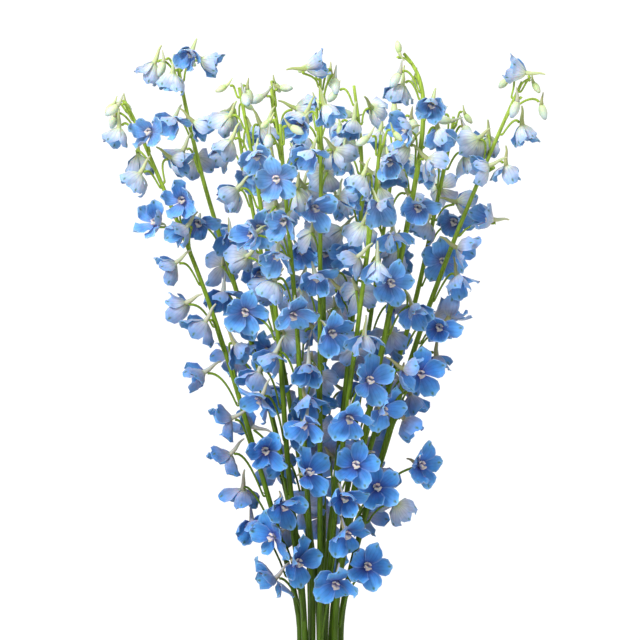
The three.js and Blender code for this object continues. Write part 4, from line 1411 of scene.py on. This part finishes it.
def extrude_to(radius, height):
    """Extrudes what is selected to a ring of this radius at this height."""
    mesh = bmesh.from_edit_mesh(bpy.context.object.data)
    ring = [vertex for vertex in mesh.verts if vertex.select]
    now_radius, now_height = max(vertex.co.xy.length for vertex in ring), ring[0].co.z
    bpy.ops.mesh.extrude_region_move(TRANSFORM_OT_translate={"value": (0, 0, height - now_height)})
    share = radius / now_radius
    bpy.ops.transform.resize(value=(share, share, 1), center_override=(0, 0, height))


print("the pot is", round(2 * POT_RADIUS / MM), "mm wide and", round(POT_TOP / MM), "mm tall")

# %% Pot
rim_foot = POT_TOP - RIM_DEPTH
bpy.ops.mesh.primitive_circle_add(vertices=POT_SIDES, radius=FOOT_RADIUS, fill_type="NGON")
pot = bpy.context.object
start_edit(pot)
for radius, height in (
    (wall_radius(rim_foot / 2), rim_foot / 2), (wall_radius(rim_foot), rim_foot),
    (wall_radius(rim_foot) + RIM_STEP, rim_foot), (POT_RADIUS, POT_TOP), (POT_RADIUS - WALL, POT_TOP),
    (wall_radius(FLOOR) - WALL, FLOOR),
):
    extrude_to(radius, height)
turn_faces_out()
end_edit()
finish_modifier(pot, "BEVEL", width=EDGE_ROUNDING, segments=3, limit_method="ANGLE",
                angle_limit=math.radians(30))
for i in range(DRAIN_HOLES):
    turn = math.radians(i * 360 / DRAIN_HOLES + DRAIN_TURN)
    centre = (DRAIN_RING * math.cos(turn), DRAIN_RING * math.sin(turn), 0)
    bpy.ops.mesh.primitive_cylinder_add(vertices=24, radius=DRAIN_RADIUS, depth=4 * FLOOR, location=centre)
    drill = bpy.context.object
    finish_modifier(pot, "BOOLEAN", operation="DIFFERENCE", object=drill, solver="EXACT")
    remove([drill])
pot.data.materials.append(terracotta)
pot.name = pot.data.name = "terracotta_pot"
bpy.ops.object.shade_smooth_by_angle(angle=math.radians(35))
dress(pot, "pot")
print("the pot has", len(pot.data.polygons), "faces")


# %% [markdown]
# ## The peat
# Potting peat is dark, moist and crumbly, with small lumps and white grains of perlite. The filling is
# extruded like the pot, its top is inset many times to give it a fine net, and a Displace modifier roughens
# it. Loose crumbs and perlite lie on top, set out by a seeded draw.

# %% Moist peat
peat, add = new_material("moist_peat")
place = add("TexCoord").outputs["Object"]
lumps = add("TexNoise", Vector=place, Scale=noise_scale(6), Detail=8, Roughness=0.7)
brown = add("ValToRGB", Fac=lumps, stops=((0.32, "#1d130c"), (0.5, "#35241a"), (0.68, "#5a412e")))
fibres = add("TexNoise", Vector=place, Scale=noise_scale(1.1), Detail=5)
finish_surface(add, fibres, strength=0.9, depth=1.2, Base_Color=brown, Roughness=0.95)
print("peat has", len(peat.node_tree.nodes), "nodes")

# %% Filling
SOIL_CROWN = 5 * MM
SOIL_GAP = 0.3 * MM
SOIL_RINGS = 26
CRUMBLE_WIDTH = 7 * MM
CRUMBLE_HEIGHT = 5 * MM
soil_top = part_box("soil")[1][2] - SOIL_CROWN


def inner_radius(height):
    """The inside of the pot's wall, less the gap to the filling."""
    low, high = wall_radius(FLOOR) - WALL, POT_RADIUS - WALL
    return mix(low, high, (height - FLOOR) / (POT_TOP - FLOOR)) - SOIL_GAP


bpy.ops.mesh.primitive_circle_add(vertices=POT_SIDES, radius=inner_radius(FLOOR), fill_type="NGON",
                                  location=(0, 0, FLOOR))
bpy.ops.object.transform_apply(location=True)
soil = bpy.context.object
start_edit(soil)
extrude_to(inner_radius(soil_top), soil_top)
for ring in range(1, SOIL_RINGS):
    share = 1 - ring / SOIL_RINGS
    extrude_to(inner_radius(soil_top) * share, soil_top + SOIL_CROWN * (1 - share * share))
turn_faces_out()
end_edit()
finish_modifier(soil, "SUBSURF", subdivision_type="SIMPLE", levels=1, render_levels=1)
crumble = bpy.data.textures.new("crumble", "CLOUDS")
crumble.noise_scale = CRUMBLE_WIDTH
crumble.noise_depth = 3
top_points = soil.vertex_groups.new(name="top")
top_points.add([v.index for v in soil.data.vertices if v.co.z > soil_top - 1 * MM], 1, "REPLACE")
finish_modifier(soil, "DISPLACE", texture=crumble, strength=CRUMBLE_HEIGHT, mid_level=0.55,
                vertex_group="top", texture_coords="LOCAL", direction="Z")
soil.data.materials.append(peat)
soil.name = soil.data.name = "peat_filling"
dress(soil, "soil")
print("filling", len(soil.data.polygons), "faces, top at", round(soil_top / MM), "mm")

# %% A crumb and a grain of perlite
CRUMB_PLAY = 0.3
PERLITE_PLAY = 0.15

perlite, add = new_material("perlite_grain")
pits = add("TexNoise", Vector=add("TexCoord").outputs["Object"], Scale=noise_scale(0.8))
finish_surface(add, pits, strength=0.8, depth=0.4, Base_Color=linear("#d9d5ca"), Roughness=0.9)


def crumb(material, rough, draw):
    """A small broken lump: an icosphere with its points pushed about."""
    bpy.ops.mesh.primitive_ico_sphere_add(subdivisions=2, radius=1)
    piece = bpy.context.object
    start_edit(piece)
    for k in range(len(piece.data.vertices)):
        pick(lambda vertex: vertex.index == k)
        size = mix(1 - rough, 1 + rough, next(draw))
        bpy.ops.transform.resize(value=(size, size, size), center_override=(0, 0, 0))
    end_edit()
    piece.data.materials.append(material)
    return piece


draw = draws(SEED + 2)
lump, grain = crumb(peat, CRUMB_PLAY, draw), crumb(perlite, PERLITE_PLAY, draw)
print("a crumb has", len(lump.data.polygons), "faces")

# %% Crumbs and perlite on the peat
CRUMBS = 230
CRUMB_SIZES = (1.2 * MM, 4.2 * MM)
PERLITE = 46
PERLITE_SIZES = (1.0 * MM, 2.2 * MM)
LUMP_SHAPE = (1, 0.8, 0.65)
LUMP_RAISED = 0.3
OFF_THE_WALL = 3 * MM


def scatter(source, count, sizes, draw):
    """Copies of a lump on the filling's crown, at even odds for each bit of area."""
    copies = []
    for _ in range(count):
        share, turn, size = math.sqrt(next(draw)), math.tau * next(draw), mix(*sizes, next(draw) ** 2)
        reach = share * (inner_radius(soil_top) - OFF_THE_WALL)
        height = soil_top + SOIL_CROWN * (1 - share * share) + size * LUMP_RAISED
        place = Matrix.Translation((reach * math.cos(turn), reach * math.sin(turn), height))
        spin, tilt = math.tau * next(draw), math.tau * next(draw)
        turned = Matrix.Rotation(spin, 4, "Z") @ Matrix.Rotation(tilt, 4, "X")
        flat = Matrix.Diagonal((*(size * side for side in LUMP_SHAPE), 1))
        copies.append(copy_of(source, place @ turned @ flat))
    return copies


crumbs, grains = scatter(lump, CRUMBS, CRUMB_SIZES, draw), scatter(grain, PERLITE, PERLITE_SIZES, draw)
loose = join(crumbs + grains, "peat_crumbs")
remove([lump, grain])
dress(loose, "soil")
print("crumbs", CRUMBS, "perlite grains", PERLITE)

# %% [markdown]
# ## The size
# The finished plant's box is printed beside the frame's box. The finished plant has to
# stay in the frame's box, give or take a few per cent.

# %% Sizes and the end
visual_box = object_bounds()
for name, box in (("frame", frame_box), ("visual", visual_box)):
    print(name, [[round(value / MM) for value in corner] for corner in box], "mm")
